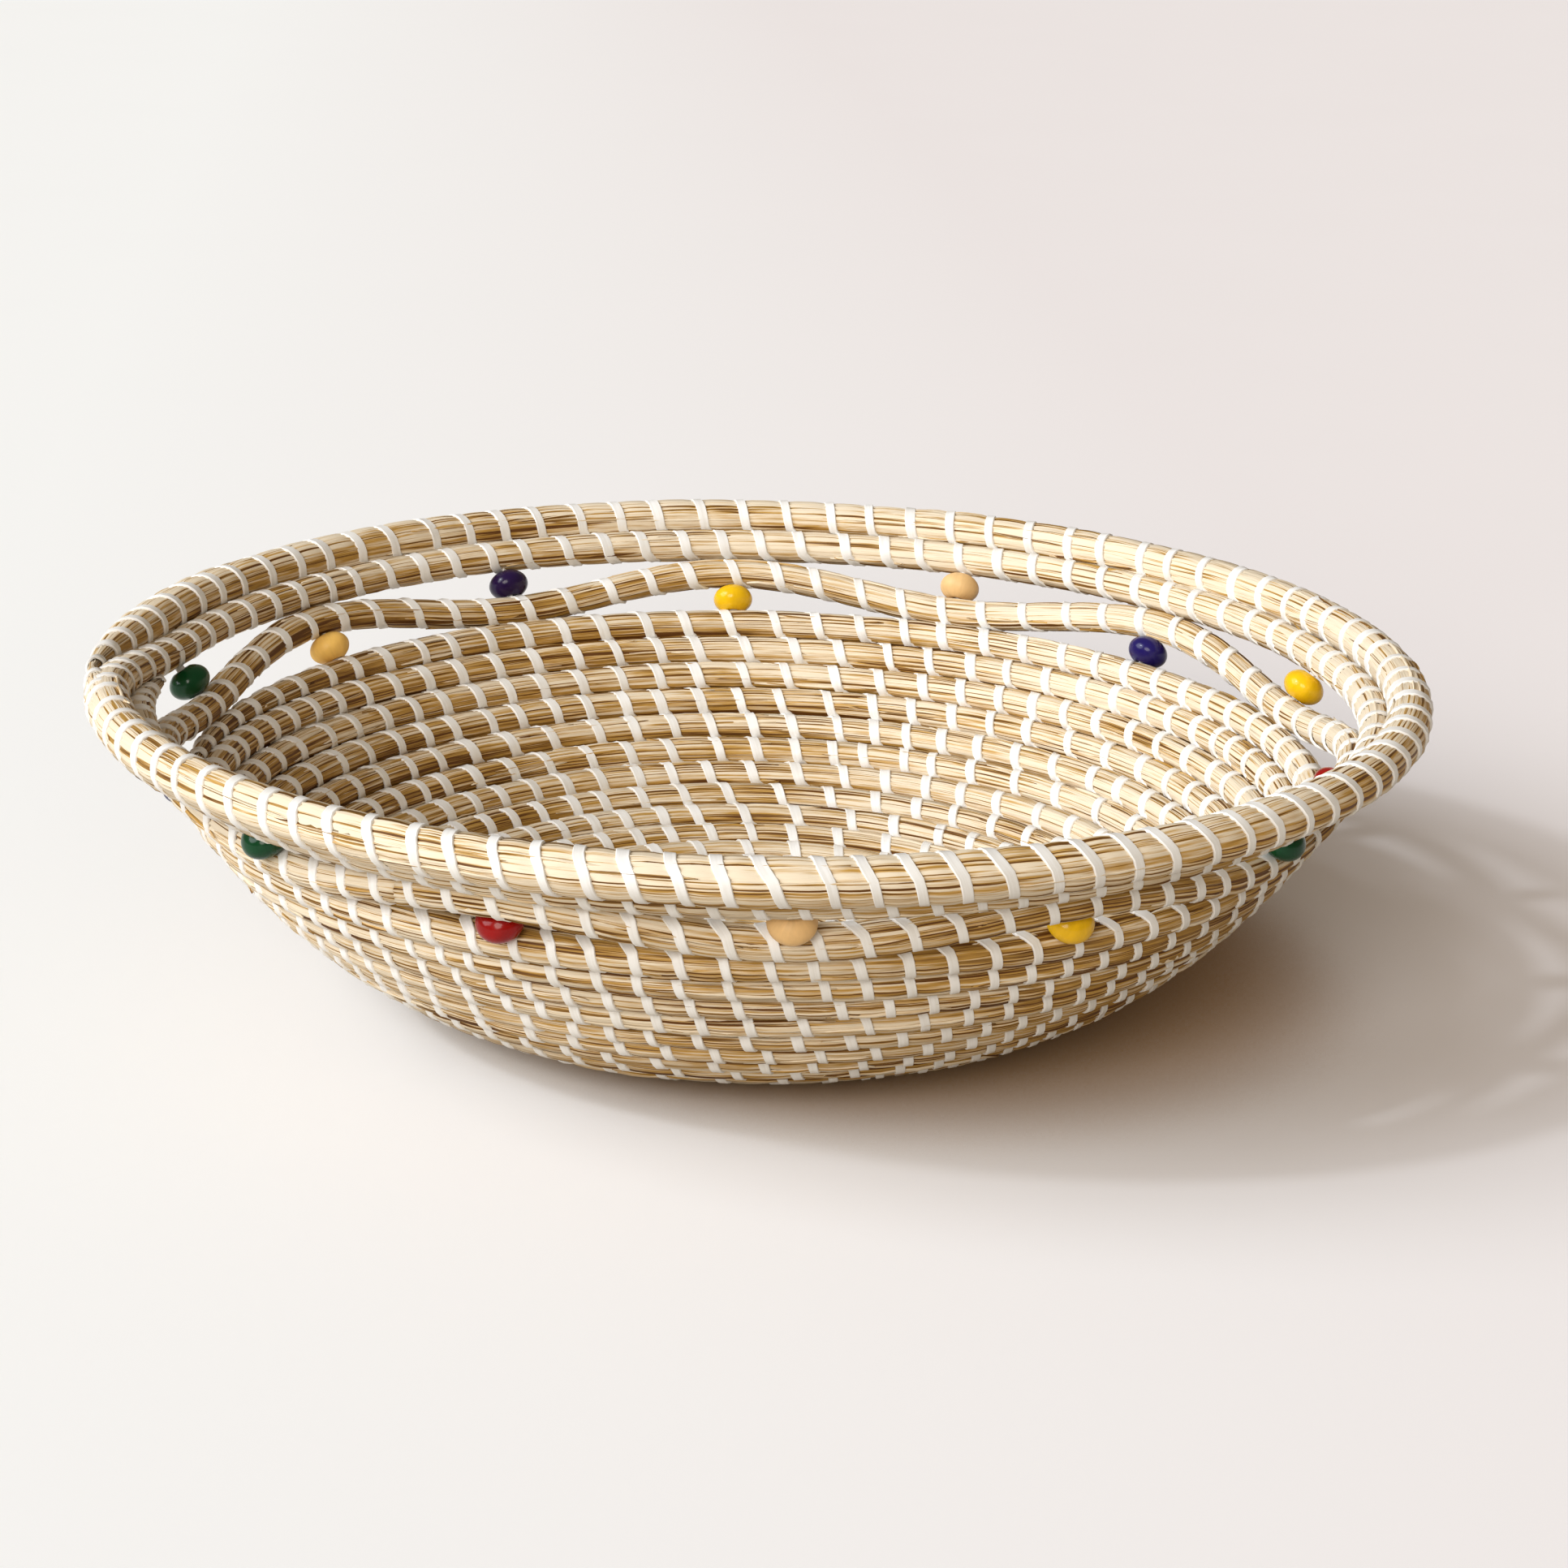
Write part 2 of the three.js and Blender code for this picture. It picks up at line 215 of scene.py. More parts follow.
class StageLook(bpy.types.PropertyGroup):
    """Camera, lamps and floor"""

    camera_place: place_prop("Camera place", "Where the camera stands", (0.0238, -0.9623, 0.3613))
    camera_target: place_prop("Camera target", "What the camera looks at", (0.0074, 0.0002, 0.0548))
    camera_roll: angle_prop("Camera roll", "Turn of the camera about its view", 1.263)
    lens: number_prop("Lens", "Focal length in millimetres", 85.44)
    key_strength: number_prop("Key strength", "Strength of the lamp at the left", 2.45)
    key_width: angle_prop("Key width", "Width of the left lamp as the basket sees it", 44)
    edge_strength: number_prop("Edge strength", "Strength of the hard lamp", 0.55)
    edge_width: angle_prop("Edge width", "Width of the hard lamp as the basket sees it", 4)
    front_strength: number_prop("Front strength", "Strength of the lamp in front", 1.75)
    front_width: angle_prop("Front width", "Width of the front lamp as the basket sees it", 30)
    fill: number_prop("Fill", "Strength of the light from all round", 0.28)
    floor: colour_prop("Floor", "Colour of the floor at the left", (0.955, 0.98, 1.0))
    # painted shade: the floor is darker at the right and far behind, away from the lamps
    far_floor: colour_prop("Far floor", "Colour of the floor at the right and far behind", (0.87, 0.84, 0.86))
    # painted shadow: the floor is dimmed to this tone close under the basket, on its side away from the left
    # lamp
    painted_shadow: colour_prop("Painted shadow", "Tone of the floor close under the basket", (0.50, 0.33, 0.18))
    painted_shadow_reach: length_prop("Nook reach", "How near the basket has to be to dim the floor", 0.072)
    bounce: colour_prop("Bounce", "Colour in which the floor lights the basket", (0.51, 0.455, 0.38))


class BasketSettings(bpy.types.PropertyGroup):
    """All settings of the basket"""

    bowl: PointerProperty(type=BowlSizes)
    band: PointerProperty(type=BandSizes)
    grass: PointerProperty(type=GrassLook)
    strip: PointerProperty(type=StripLook)
    bead: PointerProperty(type=BeadLook)
    stage: PointerProperty(type=StageLook)


def settings():
    return bpy.context.scene.basket


# Outline of the bowl


def climbed(turn_part, share):
    """Share of the climb to the next row that is done after this part of a turn."""
    step = np.clip((turn_part - 1 + share) / share, 0.0, 1.0)
    return step * step * (3 - 2 * step)


def row_place(turns, bowl):
    """Distance from the middle of the base, along the outline, after a number of turns."""
    whole = np.floor(turns)
    return bowl.row_pitch * (0.5 + whole + climbed(turns - whole, bowl.climb_share))


def outline_slope(distance, bowl):
    share = np.clip((distance - bowl.flat_radius) / bowl.bend_length, 0.0, 1.0)
    return bowl.wall_slope * np.sin(share * math.pi / 2)


def outline(distance, bowl):
    """Radius, height and slope of the wall at distances along the outline."""
    distance = np.asarray(distance, float)
    bent = np.maximum(0.0, distance - bowl.flat_radius)
    radius = np.minimum(distance, bowl.flat_radius)
    height = np.full_like(radius, bowl.base_height)
    for step in range(OUTLINE_STEPS):
        slope = outline_slope(bowl.flat_radius + bent * (step + 0.5) / OUTLINE_STEPS, bowl)
        radius = radius + np.cos(slope) * bent / OUTLINE_STEPS
        height = height + np.sin(slope) * bent / OUTLINE_STEPS
    return radius, height, outline_slope(distance, bowl)


def band_places(bowl, band):
    """Places along the outline: edge of the top row, trough, crest and lower turn of the rim."""
    top_row = float(row_place(np.array(bowl.base_turns + bowl.wall_turns - 1.0), bowl))
    edge = top_row + bowl.row_cord / 2
    trough = edge + band.clearance + band.wave_cord / 2
    crest = edge + band.seat + band.wave_cord / 2
    tilt = bowl.wall_slope - band.rim_slope
    reach = band.rim_lower_cord / math.sqrt(3) * math.cos(math.pi / 6 - tilt)
    rim = crest + band.wave_cord / 2 + band.clearance + reach
    return edge, trough, crest, rim


# Cords


class Cord:
    """A wound cord: its middle line, its lean and its thickness, all by length along it."""

    def __init__(self, angle, radius, height, slope, thickness, fill):
        self.angle = angle
        self.radius = radius
        self.height = height
        self.slope = slope
        self.thickness = thickness
        self.fill = fill
        middle = np.stack([radius * np.cos(angle), radius * np.sin(angle), height], 1)
        steps = np.linalg.norm(np.diff(middle, axis=0), axis=1)
        self.length = np.concatenate([[0.0], np.cumsum(steps)])
        self.stitches = None
        self.painted_groove_shade = 0.0
        self.paler = 0.0

    def length_at(self, values, keys):
        return np.interp(values, keys, self.length)

    def place(self, length):
        """Middle, directions up the wall and out of the bowl, and thickness, at lengths along it."""
        angle, radius, height, slope, thickness = (
            np.interp(length, self.length, values)
            for values in (self.angle, self.radius, self.height, self.slope, self.thickness)
        )
        around = np.stack([np.cos(angle), np.sin(angle), np.zeros_like(angle)], -1)
        up = np.zeros_like(around)
        up[..., 2] = 1.0
        middle = around * radius[..., None] + up * height[..., None]
        along = around * np.cos(slope)[..., None] + up * np.sin(slope)[..., None]
        outward = around * np.sin(slope)[..., None] - up * np.cos(slope)[..., None]
        return middle, along, outward, thickness

    def surface(self, length, wrap, lift):
        """Points on the cord and their normals."""
        middle, along, outward, thickness = self.place(length)
        half = (thickness * self.swell(length, wrap) / 2)[..., None]
        sine, cosine = np.sin(wrap), np.cos(wrap)
        normal = along * sine[..., None] - outward * cosine[..., None]
        fill_up, fill_out = self.fill
        spread = along * (sine * fill_up)[..., None] - outward * (cosine * fill_out)[..., None]
        return middle + spread * half + normal * np.asarray(lift)[..., None], normal

    def swell(self, length, wrap):
        """Thickness of the bundle as a share: drawn in under the stitches, and uneven as grass is."""
        uneven = 1
        for share, rate, start in SWELLS:
            uneven = uneven + share * np.sin(length * rate + start)
        if self.stitches is None:
            return uneven
        return uneven * (1 - self.stitches.pinch(length, wrap))


class Stitches:
    """Strip wound round a cord: where each stitch crosses its inner face, and how it slants."""

    def __init__(self, lengths, shares, look):
        self.lengths = lengths
        self.depth = look.pinch
        self.reach = look.width * PINCH_REACH
        self.numbers = np.arange(len(lengths), dtype=float)
        self.wraps = np.linspace(0.0, FULL_TURN, WRAP_SAMPLES)
        self.shares = self.advance_table(shares)

    def advance_table(self, shares):
        """Way to the next stitch by wrap, from the shares of faces and grooves."""
        inner, upper, outer, lower = shares
        on_inner = np.cos(self.wraps) > 0
        rate = np.where(on_inner, inner, outer) / math.pi
        for groove, share in ((UPPER_GROOVE, upper), (LOWER_GROOVE, lower)):
            offset = (self.wraps - groove) / GROOVE_WIDTH
            rate = rate + share * np.exp(-offset * offset) / (GROOVE_WIDTH * math.sqrt(math.pi))
        steps = (rate[1:] + rate[:-1]) / 2
        table = np.concatenate([[0.0], np.cumsum(steps)])
        return table / table[-1]

    def advance(self, wrap):
        return np.interp(np.mod(wrap, FULL_TURN), self.wraps, self.shares)

    def pinch(self, length, wrap):
        number = np.interp(length, self.lengths, self.numbers) - self.advance(wrap)
        away = number - np.round(number)
        spacing = np.interp(length, self.lengths[:-1], np.diff(self.lengths))
        offset = away * spacing / self.reach
        return self.depth * np.exp(-offset * offset)

    def path(self, first, last, steps):
        """Length and wrap of the strip, in equal steps of wrap, from one stitch to another."""
        count = (last - first) * steps + 1
        turns = first + np.arange(count) / steps
        whole = np.minimum(np.floor(turns).astype(int), len(self.lengths) - 2)
        wrap = (turns - whole) * FULL_TURN
        share = np.where(turns - whole >= 1, 1.0, self.advance(wrap))
        length = self.lengths[whole] + share * (self.lengths[whole + 1] - self.lengths[whole])
        return length, wrap


def crowded(angle, share):
    """Moves evenly spaced angles closer together at the front and further apart at the back."""
    return angle - share * np.sin(angle - FRONT)


def row_stitch_turns(bowl, look, chance):
    """Turns at which the rows are stitched: columns run down the wall and thin out with the rows."""
    found = []
    column = None
    for row in reversed(range(bowl.base_turns + bowl.wall_turns)):
        radius = float(outline(row_place(np.array(row + LEVEL_PART), bowl), bowl)[0])
        count = max(LEAST_COLUMNS, round(FULL_TURN * radius / look.row_spacing))
        if column is None:
            angle = bowl.seam_angle + FULL_TURN * np.arange(count) / count
            column = (crowded(angle, look.crowding) - bowl.seam_angle) / FULL_TURN
        elif len(column) > count:
            extra = len(column) - count
            dropped = (np.arange(extra) + chance.random()) * len(column) / extra
            column = np.delete(column, np.unique(dropped.astype(int)))
        for _ in range(EVENING_PASSES):
            before = np.roll(column, 1)
            before[0] -= 1
            after = np.roll(column, -1)
            after[-1] += 1
            column = KEPT * column + DRAWN * (before + after)
        column = np.sort(np.mod(column, 1.0))
        uneven = chance.normal(0.0, STITCH_SCATTER, len(column))
        for waves in DRIFT_WAVES:
            drift = chance.normal(0.0, DRIFT)
            uneven += drift * np.sin(FULL_TURN * (waves * column + chance.random()))
        uneven /= len(column)
        found.append(row + np.clip(np.sort(column + uneven), 0.0, TURN_END))
    return np.concatenate(found[::-1])


def spaced(lengths, least):
    """Leaves out lengths that come too soon after the one before."""
    kept = [lengths[0]]
    for length in lengths[1:]:
        if length - kept[-1] >= least:
            kept.append(length)
    return np.array(kept)


def stitch_turns(cord, spacing, look, winding):
    """Stitches a cord that lies in level turns."""
    chance = np.random.default_rng(winding.stitch_seed)
    step = spacing / cord.radius.mean()
    first, last = cord.angle[0], cord.angle[-1]
    angle = np.arange(first - 1.0, last + 1.0, step)
    angle = crowded(angle, look.crowding) + chance.normal(0.0, STITCH_SCATTER, len(angle)) * step
    angle = angle[(angle > first) & (angle < last)]
    lengths = cord.length_at(np.concatenate([[first], angle, [last]]), cord.angle)
    cord.stitches = Stitches(spaced(lengths, spacing * winding.least), winding.shares, look)


def row_cord(bowl, band, strip):
    """The one cord of base and wall, with the turns that it was sampled at."""
    turns_all = bowl.base_turns + bowl.wall_turns
    edge = band_places(bowl, band)[0]
    turns = np.linspace(0.0, turns_all, turns_all * TURN_SAMPLES + 1)
    distance = row_place(turns, bowl)
    thickness = np.full_like(turns, bowl.row_cord)
    tail = turns > turns_all - bowl.climb_share
    rise = climbed(turns[tail] - (turns_all - 1), bowl.climb_share)
    gap = bowl.row_pitch - bowl.row_cord
    thickness[tail] = np.maximum(bowl.row_pitch * (1 - rise) - gap, 0.0)
    distance[tail] = edge - thickness[tail] / 2
    kept = thickness >= band.tip
    turns = turns[kept]
    cord = Cord(
        bowl.seam_angle + FULL_TURN * turns,
        *outline(distance[kept], bowl),
        thickness[kept],
        ROW_WINDING.fill,
    )
    chance = np.random.default_rng(ROW_WINDING.stitch_seed)
    stitched = row_stitch_turns(bowl, strip, chance)
    lengths = cord.length_at(stitched[stitched < turns[-1]], turns)
    lengths = spaced(lengths, strip.row_spacing * ROW_WINDING.least)
    cord.stitches = Stitches(lengths, ROW_WINDING.shares, strip)
    cord.painted_groove_shade = ROW_GROOVE_PAINTED_SHADE
    return cord, turns


def wave_cord(bowl, band, strip):
    """One turn that swings between the rows and the rim."""
    _, trough, crest, _ = band_places(bowl, band)
    angle = bowl.seam_angle + np.linspace(0.0, FULL_TURN, BAND_SAMPLES)
    dip = (1 + np.cos(band.waves * (angle - band.first_angle))) / 2
    place = outline(crest + (trough - crest) * dip, bowl)
    cord = Cord(angle, *place, np.full_like(angle, band.wave_cord), WAVE_WINDING.fill)
    stitch_turns(cord, strip.wave_spacing, strip, WAVE_WINDING)
    return cord


def rim_cord(bowl, band, strip):
    """Two turns: a tapered start, the lower turn, the climb, the upper turn and its tapered end."""
    rim = band_places(bowl, band)[3]
    radius, height, _ = outline(np.array(rim), bowl)
    rise = band.rim_lower_cord / 2 + band.rim_gap + band.rim_upper_cord / 2
    turns = np.linspace(-band.rim_climb, 2.0, BAND_SAMPLES)
    whole = np.floor(turns)
    share = climbed(turns - whole, band.rim_climb)
    climbing = band.rim_lower_cord + (band.rim_upper_cord - band.rim_lower_cord) * share
    start = rise * share - climbing / 2 - band.rim_gap + band.rim_lower_cord / 2
    end = rise + band.rim_upper_cord / 2 - rise * share - climbing / 2 - band.rim_gap
    thickness = np.where(whole < 0, start, np.where(whole > 0, end, climbing))
    lift = np.where(
        whole < 0,
        (thickness - band.rim_lower_cord) / 2,
        np.where(whole > 0, rise + (band.rim_upper_cord - thickness) / 2, rise * share),
    )
    kept = thickness >= band.tip
    cord = Cord(
        band.rim_seam + FULL_TURN * turns[kept],
        radius + lift[kept] * math.cos(band.rim_slope),
        height + lift[kept] * math.sin(band.rim_slope),
        np.full(int(kept.sum()), band.rim_slope),
        thickness[kept],
        RIM_WINDING.fill,
    )
    stitch_turns(cord, strip.rim_spacing, strip, RIM_WINDING)
    cord.paler = RIM_PALER
    return cord


# Meshes of tubes


class Bundle:
    """Closed tubes that become one mesh, with a map along and across each and a tint for each point."""

    def __init__(self):
        self.points = []
        self.tints = []
        self.corners = []
        self.sizes = []
        self.maps = []
        self.count = 0

    def add_tube(self, grid, along, across, tint):
        """grid is rings by sides by 3; along is by ring; across is by ring and side, one side more."""
        rings, sides, _ = grid.shape
        ring = np.arange(rings - 1)[:, None]
        side = np.arange(sides)[None, :]
        after = (side + 1) % sides
        here = ring * sides
        quads = np.stack(
            [here + side, here + after, here + sides + after, here + sides + side], -1
        ).reshape(-1, 4)
        near, far = along[ring] + 0 * side, along[ring + 1] + 0 * side
        u = np.stack([near, near, far, far], -1)
        corners = ((0, 0), (0, 1), (1, 1), (1, 0))
        v = np.stack([across[ring + later, side + beside] for later, beside in corners], -1)
        self.points.append(grid.reshape(-1, 3))
        self.tints.append(tint.reshape(-1))
        self.corners.append(quads.reshape(-1) + self.count)
        self.sizes.append(np.full(len(quads), 4))
        self.maps.append(np.stack([u, v], -1).reshape(-1, 2))
        last = (rings - 1) * sides
        for cap, row in ((np.arange(sides)[::-1], 0), (last + np.arange(sides), rings - 1)):
            self.corners.append(cap + self.count)
            self.sizes.append(np.array([sides]))
            cap_side = np.mod(cap, sides)
            self.maps.append(np.stack([np.full(sides, along[row]), across[row, cap_side]], -1))
        self.count += rings * sides

    def make(self, name, material):
        """Object with the tubes as its mesh."""
        points = np.concatenate(self.points)
        corners = np.concatenate(self.corners)
        sizes = np.concatenate(self.sizes)
        mesh = bpy.data.meshes.new(name)
        mesh.vertices.add(len(points))
        mesh.vertices.foreach_set("co", points.astype(np.float32).ravel())
        mesh.loops.add(len(corners))
        mesh.loops.foreach_set("vertex_index", corners.astype(np.int32))
        mesh.polygons.add(len(sizes))
        starts = np.concatenate([[0], np.cumsum(sizes)[:-1]])
        mesh.polygons.foreach_set("loop_start", starts.astype(np.int32))
        mesh.update(calc_edges=True)
        layer = mesh.uv_layers.new(name=CORD_UV)
        layer.data.foreach_set("uv", np.concatenate(self.maps).astype(np.float32).ravel())
        tint = mesh.attributes.new(TINT, "FLOAT", "POINT")
        tint.data.foreach_set("value", np.concatenate(self.tints).astype(np.float32))
        if mesh.validate():
            raise RuntimeError(f"{name}: the mesh had bad faces")
        mesh.materials.append(material)
        piece = bpy.data.objects.new(name, mesh)
        bpy.context.scene.collection.objects.link(piece)
        return piece


def wander(chance, count, total, step, length):
    """Random values from 0 to 1 for a count of blades, changing slowly along the cord."""
    knots = int(total / step) + 3
    values = chance.random((count, knots))
    places = np.arange(knots) * step
    return np.stack([np.interp(length, places + chance.random() * step, row) for row in values], 1)


# Lengths of cord over which blades change in height, place and tint, and over which a bundle turns
RIDGE_STEP, SHIFT_STEP, TINT_STEP, TURN_STEP = 0.05, 0.07, 0.028, 0.3
BLADE_SHIFT = 0.9  # of the space between blades
BUNDLE_TURN = 0.5
# Heights as shares of a blade's ridge: a least part and a part that varies
RIDGE_HEIGHT, RIDGE_DROP, GROOVE_DEPTH = (0.15, 0.85), 0.55, (0.45, 0.5)
RIDGE_TINT, GROOVE_TINT = (0.34, 0.58), (0.10, 0.38)
PAINTED_GROOVE_SHADE_WIDTH = 0.4
GRASS_MAP_WIDTH = 0.0042  # of the map, for each radian of wrap


def kept_above(points, floor):
    """Presses points up to a floor, where there is one."""
    if floor is not None:
        points[..., 2] = np.maximum(points[..., 2], floor)


def grass_tube(bundle, cord, look, span, seed, floor=None):
    """Bundle of grass from one length to another: a ridge for each blade and a groove between."""
    chance = np.random.default_rng(seed)
    blades = look.blades_around
    total = cord.length[-1]
    rings = max(4, int((span[1] - span[0]) / look.ring_step))
    length = np.linspace(span[0], span[1], rings + 1)
    sides = blades * 2
    ridge = wander(chance, blades, total, RIDGE_STEP, length)
    shift = wander(chance, sides, total, SHIFT_STEP, length) - 0.5
    tint = wander(chance, blades, total, TINT_STEP, length)
    turn = BUNDLE_TURN * (wander(chance, 1, total, TURN_STEP, length) - 0.5)
    spaces = FULL_TURN / sides
    wrap = LOWER_GROOVE + np.arange(sides)[None, :] * spaces + shift * spaces * BLADE_SHIFT + turn
    lift = np.zeros((rings + 1, sides))
    lift[:, 0::2] = look.ridge * (RIDGE_HEIGHT[0] + RIDGE_HEIGHT[1] * ridge) - look.ridge * RIDGE_DROP
    lift[:, 1::2] = -look.ridge * (GROOVE_DEPTH[0] + GROOVE_DEPTH[1] * np.roll(ridge, 1, 1))
    shades = np.zeros((rings + 1, sides))
    shades[:, 0::2] = RIDGE_TINT[0] + RIDGE_TINT[1] * tint
    shades[:, 1::2] = GROOVE_TINT[0] + GROOVE_TINT[1] * tint
    # painted shade: darker grass in the grooves where the rows touch
    shades -= cord.painted_groove_shade * np.exp(-((np.cos(wrap) / PAINTED_GROOVE_SHADE_WIDTH) ** 2))
    long = np.repeat(length[:, None], sides, 1)
    points, normal = cord.surface(long, wrap, lift)
    # The rim is paler than the rows; on top of that, painted light and shade: paler on faces turned to the
    # left lamp, darker on faces turned away
    shades += cord.paler + look.painted_light * (normal @ PAINTED_LIGHT_SIDE)
    kept_above(points, floor)
    across = (np.arange(sides + 1)[None, :] * spaces) * GRASS_MAP_WIDTH + np.zeros((rings + 1, 1))
    bundle.add_tube(points, length, across, shades)


BLADE_RINGS = 11
BLADE_END = 0.12  # width of a loose blade's ends, as a share
BLADE_SUNK = -0.0004  # how deep the edges of a loose blade lie in the bundle
BLADE_MAP = np.array([0.0, 0.5, 1.0, 1.5])
# Least and most: length, width and rise as shares, lean of the ridge, and tint
BLADE_LENGTHS, BLADE_WIDTHS, BLADE_RISES = (0.6, 1.5), (0.55, 1.25), (0.35, 0.85)
BLADE_LEANS, BLADE_TINTS = (-0.4, 0.4), (0.25, 1.0)
BLADE_SWAY = 0.16  # scatter of a blade's wrap from end to end
TIP_RISE = (-0.0002, 0.0006)  # middle and scatter; only tips that rise stand off
TIP_SHARE = 6  # a sixth of the blade is its tip


def loose_blades(bundle, cord, look, span, seed, floor=None):
    """Single blades that lie along a bundle, some with a tip that stands off."""
    chance = np.random.default_rng(seed)
    count = int((span[1] - span[0]) / look.loose_spacing)
    share = np.linspace(0.0, 1.0, BLADE_RINGS)
    bow = np.sqrt(np.clip(np.sin(share * math.pi), 0.0, 1.0)) * (1 - BLADE_END) + BLADE_END
    for number in range(count):
        size = look.loose_length * chance.uniform(*BLADE_LENGTHS)
        begin = span[0] + (span[1] - span[0] - size) * (number + chance.random()) / count
        length = begin + size * share
        middle = chance.uniform(0.0, FULL_TURN) + chance.normal(0.0, BLADE_SWAY) * (share - 0.5)
        width = look.loose_width * chance.uniform(*BLADE_WIDTHS) * bow
        rise = look.ridge * chance.uniform(*BLADE_RISES)
        tip_part = np.clip(share * TIP_SHARE - (TIP_SHARE - 1), 0.0, 1.0)
        tip = max(0.0, chance.normal(*TIP_RISE)) * tip_part ** 2
        thickness = np.interp(length, cord.length, cord.thickness)
        half = width / thickness
        lean = chance.uniform(*BLADE_LEANS)
        wrap = np.stack([middle - half, middle + lean * half, middle + half], 1)
        sunk = np.full(BLADE_RINGS, BLADE_SUNK)
        lift = np.stack([sunk + tip, rise * bow + tip, sunk + tip], 1)
        points, _ = cord.surface(np.repeat(length[:, None], 3, 1), wrap, lift)
        kept_above(points, floor)
        across = BLADE_MAP[None, :] * width[:, None] + chance.random()
        tint = np.full((BLADE_RINGS, 3), chance.uniform(*BLADE_TINTS))
        bundle.add_tube(points, length, across, tint)


STRIP_STEPS = 16  # points on each stitch
STRIP_LIFT = 0.2  # middle of the strip over the cord, as a share of its thickness
# Corners of the strip: across as a share of its width, up as a share of its thickness
STRIP_SECTION = ((-0.5, -0.5), (-0.5, 0.45), (-0.43, 1.0), (0.43, 1.0), (0.5, 0.45), (0.5, -0.5))
STRIP_MAP = np.array([0.0, 0.05, 0.2, 0.8, 0.95, 1.0, 1.1])
STRIP_MAP_LENGTH = 0.03  # of the map, for each stitch
STRIP_TINT = 0.5
STRIP_WIDTHS, STRIP_TILTS = (0.86, 1.12), (-0.12, 0.12)


def strip_tube(bundle, cord, look, first, last, seed, floor=None):
    """Strip over the stitches from one number to another: a flat band with bevelled edges."""
    chance = np.random.default_rng(seed)
    length, wrap = cord.stitches.path(first, last, STRIP_STEPS)
    count = len(length)
    points, normal = cord.surface(length, wrap, np.full(count, look.thickness * STRIP_LIFT))
    tangent = np.gradient(points, axis=0)
    tangent -= normal * np.sum(tangent * normal, 1)[:, None]
    tangent /= np.linalg.norm(tangent, axis=1)[:, None]
    side = np.cross(tangent, normal)
    stitch = np.arange(count) / STRIP_STEPS
    knots = np.arange(last - first + 3)
    width = look.width * np.interp(stitch, knots, chance.uniform(*STRIP_WIDTHS, len(knots)))
    width *= 1 - look.outer_narrowing * (1 - np.cos(wrap)) / 2
    tilt = np.interp(stitch, knots, chance.uniform(*STRIP_TILTS, len(knots)))
    corners = []
    for across, lift in STRIP_SECTION:
        reach = (across * width)[:, None]
        height = (lift * look.thickness + tilt * across * width)[:, None]
        corners.append(points + side * reach + normal * height)
    grid = np.stack(corners, 1)
    kept_above(grid, floor)
    across = STRIP_MAP[None, :] * look.width + np.zeros((count, 1))
    tint = np.full((count, len(STRIP_SECTION)), STRIP_TINT)
    bundle.add_tube(grid, stitch * STRIP_MAP_LENGTH, across, tint)


# Materials


def add_node(tree, kind, place, **values):
    node = tree.nodes.new(kind)
    node.location = place
    for key, value in values.items():
        setattr(node, key, value)
    return node


def new_material(name, roughness):
    """Material with a Principled shader at its defaults, ready to be linked."""
    material = bpy.data.materials.new(name)
    material.use_nodes = True
    shader = material.node_tree.nodes["Principled BSDF"]
    shader.inputs["Roughness"].default_value = roughness
    return material, material.node_tree, shader


def ramp_node(tree, place, stops):
    """Colour ramp through stops of a position and a colour."""
    node = add_node(tree, "ShaderNodeValToRGB", place)
    elements = node.color_ramp.elements
    elements[0].position, elements[0].color = stops[0][0], (*stops[0][1], 1.0)
    elements[1].position, elements[1].color = stops[-1][0], (*stops[-1][1], 1.0)
    for position, colour in stops[1:-1]:
        element = elements.new(position)
        element.color = (*colour, 1.0)
    return node


def streak_group():
    """Noise that is stretched along a map: streaks, or clouds where it is stretched evenly."""
    group = bpy.data.node_groups.get("Streaks")
    if group:
        return group
    group = bpy.data.node_groups.new("Streaks", "ShaderNodeTree")
    for name, kind in (("Map", "NodeSocketVector"), ("Scale", "NodeSocketVector")):
        group.interface.new_socket(name, in_out="INPUT", socket_type=kind)
    group.interface.new_socket("Streaks", in_out="OUTPUT", socket_type="NodeSocketFloat")
    inside = add_node(group, "NodeGroupInput", (-600, 0))
    stretch = add_node(group, "ShaderNodeVectorMath", (-400, 0), operation="MULTIPLY")
    noise = add_node(group, "ShaderNodeTexNoise", (-200, 0))
    noise.inputs["Scale"].default_value = 1.0
    noise.inputs["Detail"].default_value = 3.0
    noise.inputs["Roughness"].default_value = 0.6
    outside = add_node(group, "NodeGroupOutput", (0, 0))
    group.links.new(inside.outputs["Map"], stretch.inputs[0])
    group.links.new(inside.outputs["Scale"], stretch.inputs[1])
    group.links.new(stretch.outputs[0], noise.inputs["Vector"])
    group.links.new(noise.outputs[0], outside.inputs["Streaks"])
    return group


def streaks(tree, source, scale, place):
    node = add_node(tree, "ShaderNodeGroup", place, node_tree=streak_group())
    node.inputs["Scale"].default_value = scale
    tree.links.new(source, node.inputs["Map"])
    return node.outputs["Streaks"]


def math_node(tree, operation, first, second, place):
    node = add_node(tree, "ShaderNodeMath", place, operation=operation)
    for socket, value in zip(node.inputs, (first, second)):
        if isinstance(value, (int, float)):
            socket.default_value = value
        else:
            tree.links.new(value, socket)
    return node.outputs[0]


def weighted_sum(tree, parts, place):
    """Adds up values, each times its weight."""
    total = None
    for number, (value, weight) in enumerate(parts):
        left, top = place[0], place[1] - 200 * number
        part = math_node(tree, "MULTIPLY", value, weight, (left, top))
        total = math_node(tree, "ADD", total, part, (left + 200, top)) if number else part
    return total


